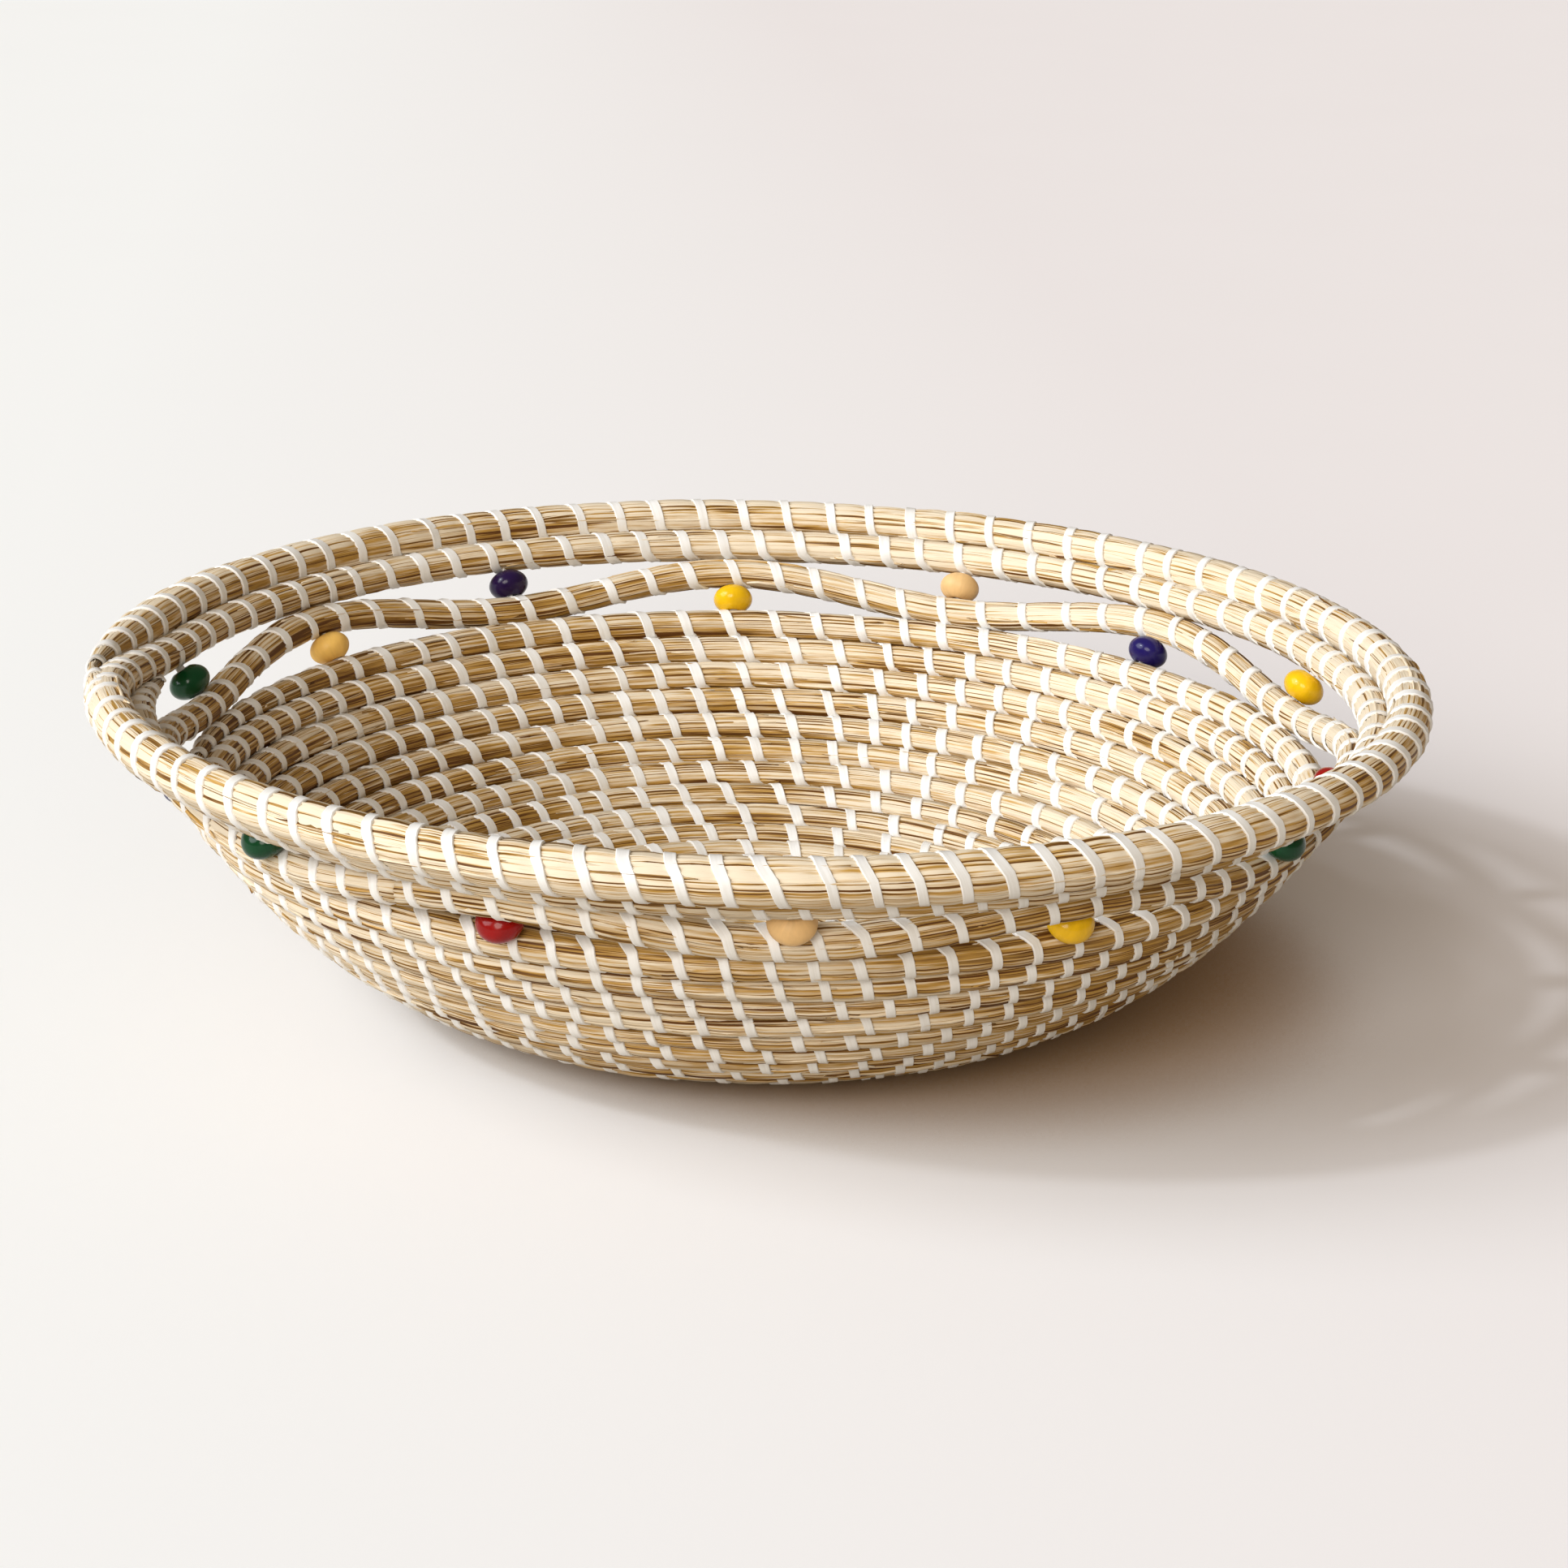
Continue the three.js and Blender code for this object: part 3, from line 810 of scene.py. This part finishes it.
def range_node(tree, value, low, high, place, start=0.3, stop=0.7):
    """Spreads a value from start to stop over low to high."""
    node = add_node(tree, "ShaderNodeMapRange", place)
    node.inputs["From Min"].default_value = start
    node.inputs["From Max"].default_value = stop
    node.inputs["To Min"].default_value = low
    node.inputs["To Max"].default_value = high
    tree.links.new(value, node.inputs["Value"])
    return node.outputs["Result"]


def bump_node(tree, height, strength, distance, shader, place):
    """Raises the shader's surface by a height."""
    node = add_node(tree, "ShaderNodeBump", place)
    node.inputs["Strength"].default_value = strength
    node.inputs["Distance"].default_value = distance
    tree.links.new(height, node.inputs["Height"])
    tree.links.new(node.outputs["Normal"], shader.inputs["Normal"])


def grass_material():
    """Dry grass: pale blades with fine brown streaks along the cord."""
    material = bpy.data.materials.get("dry_grass")
    if material:
        return material
    look = settings().grass
    material, tree, shader = new_material("dry_grass", 0.7)
    shader.inputs["Specular IOR Level"].default_value = 0.3
    chart = add_node(tree, "ShaderNodeUVMap", (-1500, 200), uv_map=CORD_UV).outputs["UV"]
    tint = add_node(tree, "ShaderNodeAttribute", (-1500, -100), attribute_name=TINT).outputs["Fac"]
    spot = add_node(tree, "ShaderNodeTexCoord", (-1500, -400)).outputs["Object"]
    fine = streaks(tree, chart, (70.0, 2300.0, 1.0), (-1200, 400))
    broad = streaks(tree, chart, (28.0, 900.0, 1.0), (-1200, 200))
    long = streaks(tree, chart, (11.0, 1500.0, 3.0), (-1200, 0))
    cracks = range_node(tree, long, -0.42, 0.0, (-950, 600), 0.39, 0.47)
    patch = streaks(tree, spot, (22.0, 22.0, 22.0), (-1200, -400))
    parts = ((tint, 0.46), (fine, 0.50), (broad, 0.40), (patch, 0.30))
    total = weighted_sum(tree, parts, (-950, 400))
    total = math_node(tree, "ADD", total, cracks, (-600, 200))
    brown = [0.45 * dark + 0.55 * middle for dark, middle in zip(look.dark, look.middle)]
    stops = ((0.46, look.dark), (0.59, brown), (0.70, look.middle), (0.87, look.pale))
    ramp = ramp_node(tree, (-450, 200), stops)
    tree.links.new(total, ramp.inputs["Fac"])
    tree.links.new(ramp.outputs["Color"], shader.inputs["Base Color"])
    tree.links.new(range_node(tree, broad, 0.5, 0.7, (-450, -100)), shader.inputs["Roughness"])
    broad_relief = math_node(tree, "MULTIPLY", broad, 0.8, (-700, -600))
    relief = math_node(tree, "ADD", fine, broad_relief, (-500, -600))
    bump_node(tree, relief, 0.55, 0.0005, shader, (-250, -500))
    return material


def strip_material():
    """White strip: satin, with faint lines along it and a little unevenness."""
    material = bpy.data.materials.get("white_strip")
    if material:
        return material
    look = settings().strip
    material, tree, shader = new_material("white_strip", 0.45)
    chart = add_node(tree, "ShaderNodeUVMap", (-1200, 200), uv_map=CORD_UV).outputs["UV"]
    spot = add_node(tree, "ShaderNodeTexCoord", (-1200, -300)).outputs["Object"]
    lines = streaks(tree, chart, (70.0, 1500.0, 1.0), (-900, 200))
    stains = streaks(tree, spot, (70.0, 70.0, 70.0), (-900, -300))
    total = weighted_sum(tree, ((lines, 0.5), (stains, 0.5)), (-700, 200))
    colour = tuple(look.colour)
    shaded = tuple(value * tone for value, tone in zip(colour, (0.86, 0.84, 0.80)))
    ramp = ramp_node(tree, (-350, 200), ((0.32, shaded), (0.58, colour)))
    tree.links.new(total, ramp.inputs["Fac"])
    tree.links.new(ramp.outputs["Color"], shader.inputs["Base Color"])
    tree.links.new(range_node(tree, stains, 0.36, 0.55, (-350, -100)), shader.inputs["Roughness"])
    bump_node(tree, lines, 0.25, 0.0002, shader, (-250, -400))
    return material


OILED = ("natural", "ochre")
GRAIN_DEPTH = 0.82  # tone of the grain's darker lines


def bead_material(finish):
    """Turned wood: lacquered in a colour, or oiled so that the grain shows."""
    name = f"wood_{finish}"
    material = bpy.data.materials.get(name)
    if material:
        return material
    look = settings().bead
    oiled = finish in OILED
    material, tree, shader = new_material(name, 0.3)
    shader.inputs["Specular IOR Level"].default_value = 0.18
    shader.inputs["Coat Weight"].default_value = 0.05 if oiled else 0.15
    shader.inputs["Coat Roughness"].default_value = 0.06
    chart = add_node(tree, "ShaderNodeUVMap", (-1200, 200), uv_map="UVMap").outputs["UV"]
    spot = add_node(tree, "ShaderNodeTexCoord", (-1200, -300)).outputs["Object"]
    grain = streaks(tree, chart, (14.0, 1.6, 1.0), (-900, 200))
    clouds = streaks(tree, spot, (160.0, 160.0, 160.0), (-900, -300))
    total = weighted_sum(tree, ((grain, 0.6), (clouds, 0.4)), (-700, 200))
    colour = tuple(getattr(look, finish))
    darker = tuple(value * GRAIN_DEPTH for value in colour)
    ramp = ramp_node(tree, (-350, 200), ((0.34, darker), (0.60, colour)))
    tree.links.new(total, ramp.inputs["Fac"])
    tree.links.new(ramp.outputs["Color"], shader.inputs["Base Color"])
    low, high = (0.36, 0.52) if oiled else (0.16, 0.28)
    tree.links.new(range_node(tree, clouds, low, high, (-350, -100)), shader.inputs["Roughness"])
    bump_node(tree, total, 0.05, 0.0002, shader, (-250, -400))
    return material


KEY_PLACE = (-0.80, -0.276, 0.53)  # direction of the lamp at the left
FAR_SIDE = (1.0, 0.12, 0.0)  # painted shade: direction in which the floor gets darker, away from the lamp at the left
FAR_REACH = (-0.25, 0.28)  # from where to where it does
PAINTED_SHADOW_OPEN = (0.33, 0.6)  # painted shadow: open share of the way to the lamp where the floor is fully dimmed, and where it is not dimmed
PAINTED_SHADOW_SAMPLES = 16
MIX_FACTOR, MIX_FIRST, MIX_SECOND, MIX_RESULT = 0, 6, 7, 2  # sockets of a colour mix
WHITE = (1.0, 1.0, 1.0)


def floor_material(look):
    """Matt pale floor with a faint grain, painted darker to the right and far behind, with a painted shadow
    under the basket; it lights it in a warmer colour.
    """
    material, tree, shader = new_material("pale_floor", 0.85)
    shader.inputs["Specular IOR Level"].default_value = 0.2
    spot = add_node(tree, "ShaderNodeTexCoord", (-900, 0)).outputs["Object"]
    grain = streaks(tree, spot, (7.0, 7.0, 7.0), (-700, 0))
    ahead = add_node(tree, "ShaderNodeVectorMath", (-700, 250), operation="DOT_PRODUCT")
    ahead.inputs[1].default_value = FAR_SIDE
    tree.links.new(spot, ahead.inputs[0])
    far = range_node(tree, ahead.outputs["Value"], 0.0, 1.0, (-500, 250), *FAR_REACH)
    faint = math_node(tree, "MULTIPLY", grain, 0.08, (-500, 0))
    total = math_node(tree, "ADD", far, faint, (-400, 150))
    ramp = ramp_node(tree, (-250, 0), ((0.04, tuple(look.floor)), (1.0, tuple(look.far_floor))))
    tree.links.new(total, ramp.inputs["Fac"])
    # painted shadow: the floor is darker where the basket close by blocks the way towards the left lamp
    painted_shadow = add_node(tree, "ShaderNodeAmbientOcclusion", (-250, -700), samples=PAINTED_SHADOW_SAMPLES)
    painted_shadow.inputs["Distance"].default_value = look.painted_shadow_reach
    towards = add_node(tree, "ShaderNodeCombineXYZ", (-450, -700))
    for socket, value in zip(towards.inputs, KEY_PLACE):
        socket.default_value = value
    tree.links.new(towards.outputs[0], painted_shadow.inputs["Normal"])
    stops = tuple(zip(PAINTED_SHADOW_OPEN, (tuple(look.painted_shadow), WHITE)))
    shade = ramp_node(tree, (-50, -700), stops)
    tree.links.new(painted_shadow.outputs["AO"], shade.inputs["Fac"])
    dimmed = add_node(tree, "ShaderNodeVectorMath", (150, -400), operation="MULTIPLY")
    tree.links.new(ramp.outputs["Color"], dimmed.inputs[0])
    tree.links.new(shade.outputs["Color"], dimmed.inputs[1])
    ray = add_node(tree, "ShaderNodeLightPath", (-700, 600))
    seen = ray.outputs["Is Camera Ray"]
    for name, left in (("Is Glossy Ray", -450), ("Is Transmission Ray", -300)):
        seen = math_node(tree, "ADD", seen, ray.outputs[name], (left, 600))
    mix = add_node(tree, "ShaderNodeMix", (0, 300), data_type="RGBA")
    mix.inputs[MIX_FIRST].default_value = (*look.bounce, 1.0)
    tree.links.new(seen, mix.inputs[MIX_FACTOR])
    tree.links.new(dimmed.outputs[0], mix.inputs[MIX_SECOND])
    tree.links.new(mix.outputs[MIX_RESULT], shader.inputs["Base Color"])
    tree.links.new(range_node(tree, grain, 0.82, 0.9, (-400, -250)), shader.inputs["Roughness"])
    bump_node(tree, grain, 0.02, 0.001, shader, (-250, -400))
    return material


# Pieces


def deselect_all():
    if bpy.context.object and bpy.context.object.mode != "OBJECT":
        bpy.ops.object.mode_set(mode="OBJECT")
    bpy.ops.object.select_all(action="DESELECT")


def smooth_piece(piece, angle):
    deselect_all()
    piece.select_set(True)
    bpy.context.view_layer.objects.active = piece
    bpy.ops.object.shade_smooth_by_angle(angle=math.radians(angle))
    deselect_all()


def finish_piece(piece, body, slot, *nodes):
    """Says which body a piece moves with and the CAD nodes that it replaces; its material slot is not used.
    """
    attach(piece, body)
    if nodes:
        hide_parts(*nodes)


# Degrees from which an edge stays sharp
GRASS_ANGLE, STRIP_ANGLE, BEAD_ANGLE, STRAND_ANGLE = 180, 30, 60, 40
STRIP_UNDERSIDE = 0.25  # how high the strip lies under the base, as a share of the grass


def cord_pieces(name, cord, span, seed, node, floor=None):
    """Grass and stitches of a cord from one length to another, as two pieces."""
    look = settings()
    bundle = Bundle()
    grass_tube(bundle, cord, look.grass, span, seed, floor)
    loose_blades(bundle, cord, look.grass, span, seed + 1, floor)
    grass = bundle.make(f"{name}_grass", grass_material())
    smooth_piece(grass, GRASS_ANGLE)
    finish_piece(grass, BASKET_BODY, "seagrass", node)
    lengths = cord.stitches.lengths
    numbers = np.flatnonzero((lengths >= span[0] - LENGTH_SLACK) & (lengths < span[1] - LENGTH_SLACK))
    first = int(numbers[0])
    last = min(int(numbers[-1]) + 1, len(lengths) - 1)
    strip_floor = None if floor is None else floor * STRIP_UNDERSIDE
    bundle = Bundle()
    strip_tube(bundle, cord, look.strip, first, last, seed + 2, strip_floor)
    strip = bundle.make(f"{name}_strip", strip_material())
    smooth_piece(strip, STRIP_ANGLE)
    finish_piece(strip, BASKET_BODY, "strip")


class BASKET_OT_base(bpy.types.Operator):
    """Winds the flat base"""

    bl_idname = "basket.base"
    bl_label = "Base Rows"

    def execute(self, context):
        look = settings()
        cord, turns = row_cord(look.bowl, look.band, look.strip)
        end = float(cord.length_at(look.bowl.base_turns, turns))
        cord_pieces("base", cord, (0.0, end), ROW_WINDING.grass_seed, "base_coil", UNDERSIDE)
        return {"FINISHED"}


class BASKET_OT_wall(bpy.types.Operator):
    """Winds the wall, in a lower and an upper stretch"""

    bl_idname = "basket.wall"
    bl_label = "Wall Rows"

    def execute(self, context):
        look = settings()
        cord, turns = row_cord(look.bowl, look.band, look.strip)
        parting = look.bowl.base_turns + LOWER_WALL * look.bowl.wall_turns
        begin, middle = (float(cord.length_at(turn, turns)) for turn in (look.bowl.base_turns, parting))
        for name, span in (
            ("wall_lower", (begin, middle)),
            ("wall_upper", (middle, float(cord.length[-1]))),
        ):
            cord_pieces(name, cord, span, ROW_WINDING.grass_seed, "wall_coil", UNDERSIDE)
        return {"FINISHED"}


class BASKET_OT_wave(bpy.types.Operator):
    """Winds the wavy turn of the openwork band"""

    bl_idname = "basket.wave"
    bl_label = "Wavy Turn"

    def execute(self, context):
        look = settings()
        cord = wave_cord(look.bowl, look.band, look.strip)
        cord_pieces("wave", cord, (0.0, float(cord.length[-1])), WAVE_WINDING.grass_seed, "wave_coil")
        return {"FINISHED"}


class BASKET_OT_rim(bpy.types.Operator):
    """Winds the two turns of the rim"""

    bl_idname = "basket.rim"
    bl_label = "Rim Turns"

    def execute(self, context):
        look = settings()
        cord = rim_cord(look.bowl, look.band, look.strip)
        cord_pieces("rim", cord, (0.0, float(cord.length[-1])), RIM_WINDING.grass_seed, "rim_coil")
        return {"FINISHED"}


def bead_joints():
    """Place and axis of each bead's hinge, by the name of its body."""
    return {
        joint["child"]: (Vector(joint["pos_m"]), Vector(joint["axis"])) for joint in frame["joints"]
    }


def put_on_axis(piece, place, axis, spin):
    """Turns a piece that was modelled along Z onto an axis, and applies it."""
    turn = axis.to_track_quat("Z", "Y").to_matrix().to_4x4()
    piece.data.transform(Matrix.Translation(place) @ turn @ Matrix.Rotation(spin, 4, "Z"))
    piece.data.update()


def select_edges(mesh, test):
    """In edit mode, selects only the edges whose two ends pass a test of their place."""
    bpy.ops.mesh.select_all(action="DESELECT")
    bpy.ops.object.mode_set(mode="OBJECT")
    for edge in mesh.edges:
        edge.select = all(test(mesh.vertices[end].co) for end in edge.vertices)
    bpy.ops.object.mode_set(mode="EDIT")
    bpy.ops.mesh.select_mode(type="EDGE")


def copies(context, model, names):
    """Copies of a model, each with its own mesh, and the model deleted."""
    for name in names:
        piece = model.copy()
        piece.data = model.data.copy()
        piece.name = name
        piece.data.name = name
        context.scene.collection.objects.link(piece)
        yield piece
    bpy.data.objects.remove(model)


BEAD_SEGMENTS, BEAD_RINGS = 40, 24
BEAD_SPIN = 2.4  # each bead is turned this much further than the one before
LIP_ROUNDING, MOUTH_ROUNDING = 0.4, 0.35  # of the lip, at its outer edge and at the bore
ROUNDING_SEGMENTS = 3
RING_SLACK = 0.002  # of the bead's width
MERGE_DISTANCE = 1e-6


def model_bead(look):
    """One bead along Z: a squashed ball, cut at both ends, bored, with rounded lips."""
    deselect_all()
    bpy.ops.mesh.primitive_uv_sphere_add(
        segments=BEAD_SEGMENTS, ring_count=BEAD_RINGS, radius=look.width / 2
    )
    bead = bpy.context.object
    lip = look.bore / 2 + look.lip
    arc_end = math.acos(lip / (look.width / 2))
    squash = look.length / look.width / math.sin(arc_end)
    bpy.ops.object.mode_set(mode="EDIT")
    bpy.ops.mesh.select_all(action="SELECT")
    bpy.ops.transform.resize(value=(1.0, 1.0, squash))
    for end in (-1, 1):
        bpy.ops.mesh.select_all(action="SELECT")
        bpy.ops.mesh.bisect(
            plane_co=(0.0, 0.0, end * look.length / 2),
            plane_no=(0.0, 0.0, end),
            clear_outer=True,
        )
    bpy.ops.mesh.select_mode(type="EDGE")
    bpy.ops.mesh.select_all(action="DESELECT")
    bpy.ops.mesh.select_non_manifold()
    shrink = look.bore / 2 / lip
    bpy.ops.mesh.extrude_edges_move()
    bpy.ops.transform.resize(value=(shrink, shrink, 1.0))
    bpy.ops.mesh.bridge_edge_loops()
    bpy.ops.mesh.select_all(action="SELECT")
    bpy.ops.mesh.remove_doubles(threshold=MERGE_DISTANCE)
    bpy.ops.mesh.normals_make_consistent(inside=False)
    slack = look.width * RING_SLACK
    for radius, share in ((lip, LIP_ROUNDING), (look.bore / 2, MOUTH_ROUNDING)):

        def on_ring(co):
            at_end = abs(abs(co.z) - look.length / 2) < slack
            return at_end and abs(co.xy.length - radius) < slack

        select_edges(bead.data, on_ring)
        bpy.ops.mesh.bevel(offset=look.lip * share, segments=ROUNDING_SEGMENTS)
    bpy.ops.object.mode_set(mode="OBJECT")
    bpy.ops.object.shade_smooth_by_angle(angle=math.radians(BEAD_ANGLE))
    return bead


class BASKET_OT_beads(bpy.types.Operator):
    """Turns one bead and threads a copy at each place"""

    bl_idname = "basket.beads"
    bl_label = "Beads"

    def execute(self, context):
        joints = bead_joints()
        names = [f"turned_{node}" for node in BEAD_NODES]
        beads = copies(context, model_bead(settings().bead), names)
        for number, bead in enumerate(beads, 1):
            node, finish = BEAD_NODES[number - 1], BEAD_ORDER[number - 1]
            put_on_axis(bead, *joints[node], BEAD_SPIN * number)
            bead.data.materials.append(bead_material(finish))
            finish_piece(bead, node, f"bead_{finish}", node)
        return {"FINISHED"}


STRAND_WIDTH = 0.78  # of the bore
STRAND_ROUNDING = 0.5  # of the strip's thickness
STRAND_CUTS = 25
STRAND_TWIST = 200  # degrees
STRAND_SPIN = 0.9


def model_strand(look, strip, seat):
    """One strand along Z: a narrow strip, twisted."""
    deselect_all()
    bpy.ops.mesh.primitive_cube_add(size=1.0)
    strand = bpy.context.object
    strand.dimensions = (look.bore * STRAND_WIDTH, strip.thickness * 2, seat + 4 * strip.thickness)
    bpy.ops.object.transform_apply(location=False, rotation=False, scale=True)
    bpy.ops.object.mode_set(mode="EDIT")
    bpy.ops.mesh.select_all(action="SELECT")
    bpy.ops.mesh.bevel(offset=strip.thickness * STRAND_ROUNDING, segments=2)
    for cut in np.linspace(-seat / 2, seat / 2, STRAND_CUTS)[1:-1]:
        bpy.ops.mesh.select_all(action="SELECT")
        bpy.ops.mesh.bisect(plane_co=(0.0, 0.0, float(cut)), plane_no=(0.0, 0.0, 1.0))
    bpy.ops.object.mode_set(mode="OBJECT")
    twist = strand.modifiers.new("twist", "SIMPLE_DEFORM")
    twist.deform_method = "TWIST"
    twist.deform_axis = "Z"
    twist.angle = math.radians(STRAND_TWIST)
    bpy.ops.object.modifier_apply(modifier=twist.name)
    bpy.ops.object.shade_smooth_by_angle(angle=math.radians(STRAND_ANGLE))
    layer = strand.data.uv_layers.active or strand.data.uv_layers.new()
    layer.name = CORD_UV
    return strand


class BASKET_OT_strands(bpy.types.Operator):
    """Twists one strand and puts a copy through each bead"""

    bl_idname = "basket.strands"
    bl_label = "Bead Strands"

    def execute(self, context):
        look = settings()
        model = model_strand(look.bead, look.strip, look.band.seat)
        model.data.materials.append(strip_material())
        joints = bead_joints()
        names = [node.replace("bead", "twisted_strand") for node in BEAD_NODES]
        for number, strand in enumerate(copies(context, model, names), 1):
            node = BEAD_NODES[number - 1]
            put_on_axis(strand, *joints[node], STRAND_SPIN * number)
            finish_piece(strand, BASKET_BODY, "strip", node.replace("bead", "bead_strand"))
        return {"FINISHED"}


# Stage


def aim(piece, place, target, roll=0.0):
    """Puts a camera or lamp at a place, facing a target."""
    ahead = (Vector(target) - Vector(place)).normalized()
    right = ahead.cross(Vector((0.0, 0.0, 1.0))).normalized()
    up = right.cross(ahead)
    side = math.cos(roll) * right + math.sin(roll) * up
    top = -math.sin(roll) * right + math.cos(roll) * up
    turn = Matrix((side, top, -ahead)).transposed().to_4x4()
    piece.matrix_world = Matrix.Translation(Vector(place)) @ turn


FLOOR_SIZE = 24.0
SENSOR_WIDTH = 36.0  # millimetres
EDGE_PLACE = (-1.39, -0.65, 1.29)
FRONT_PLACE = (-0.47, -1.77, 0.80)
COOL, WARM, GLOW = (0.90, 0.95, 1.0), (1.0, 0.94, 0.86), (1.0, 0.82, 0.62)


class BASKET_OT_stage(bpy.types.Operator):
    """Sets floor, lamps and camera"""

    bl_idname = "basket.stage"
    bl_label = "Stage"

    def execute(self, context):
        look = settings().stage
        scene = context.scene
        scene.view_settings.view_transform = "Standard"
        deselect_all()
        bpy.ops.mesh.primitive_plane_add(size=FLOOR_SIZE)
        floor = context.object
        floor.name = "floor"
        floor.data.materials.append(floor_material(look))
        for name, place, strength, width, colour in (
            ("key", KEY_PLACE, look.key_strength, look.key_width, COOL),
            ("edge", EDGE_PLACE, look.edge_strength, look.edge_width, COOL),
            ("front", FRONT_PLACE, look.front_strength, look.front_width, WARM),
        ):
            bpy.ops.object.light_add(type="SUN")
            lamp = context.object
            lamp.name = name
            lamp.data.energy = strength
            lamp.data.angle = width
            lamp.data.color = colour
            aim(lamp, place, (0.0, 0.0, 0.0))
        world = bpy.data.worlds.new("studio")
        world.use_nodes = True
        background = world.node_tree.nodes["Background"]
        background.inputs["Color"].default_value = (*GLOW, 1.0)
        background.inputs["Strength"].default_value = look.fill
        scene.world = world
        bpy.ops.object.camera_add()
        camera = context.object
        camera.name = "camera"
        camera.data.lens = look.lens
        camera.data.sensor_width = SENSOR_WIDTH
        aim(camera, look.camera_place, look.camera_target, look.camera_roll)
        scene.camera = camera
        deselect_all()
        return {"FINISHED"}


class BASKET_PT_panel(bpy.types.Panel):
    """Lists the steps that build the basket"""

    bl_label = "Seagrass Basket"
    bl_idname = "BASKET_PT_panel"
    bl_space_type = "VIEW_3D"
    bl_region_type = "UI"
    bl_category = "Basket"

    def draw(self, context):
        for group in ("bowl", "band", "grass", "strip", "bead", "stage"):
            box = self.layout.box()
            box.label(text=group.title())
            values = getattr(context.scene.basket, group)
            for name in values.__annotations__:
                box.prop(values, name)
        for operator in OPERATORS:
            self.layout.operator(operator.bl_idname)


OPERATORS = (
    BASKET_OT_base,
    BASKET_OT_wall,
    BASKET_OT_wave,
    BASKET_OT_rim,
    BASKET_OT_strands,
    BASKET_OT_beads,
    BASKET_OT_stage,
)
CLASSES = (
    BowlSizes,
    BandSizes,
    GrassLook,
    StripLook,
    BeadLook,
    StageLook,
    BasketSettings,
    *OPERATORS,
    BASKET_PT_panel,
)


def register():
    for item in CLASSES:
        bpy.utils.register_class(item)
    bpy.types.Scene.basket = PointerProperty(type=BasketSettings)


def unregister():
    del bpy.types.Scene.basket
    for item in reversed(CLASSES):
        bpy.utils.unregister_class(item)


def main():
    register()
    bpy.ops.basket.base()
    bpy.ops.basket.wall()
    bpy.ops.basket.wave()
    bpy.ops.basket.rim()
    bpy.ops.basket.strands()
    bpy.ops.basket.beads()
    bpy.ops.basket.stage()


if __name__ == "__main__":
    main()
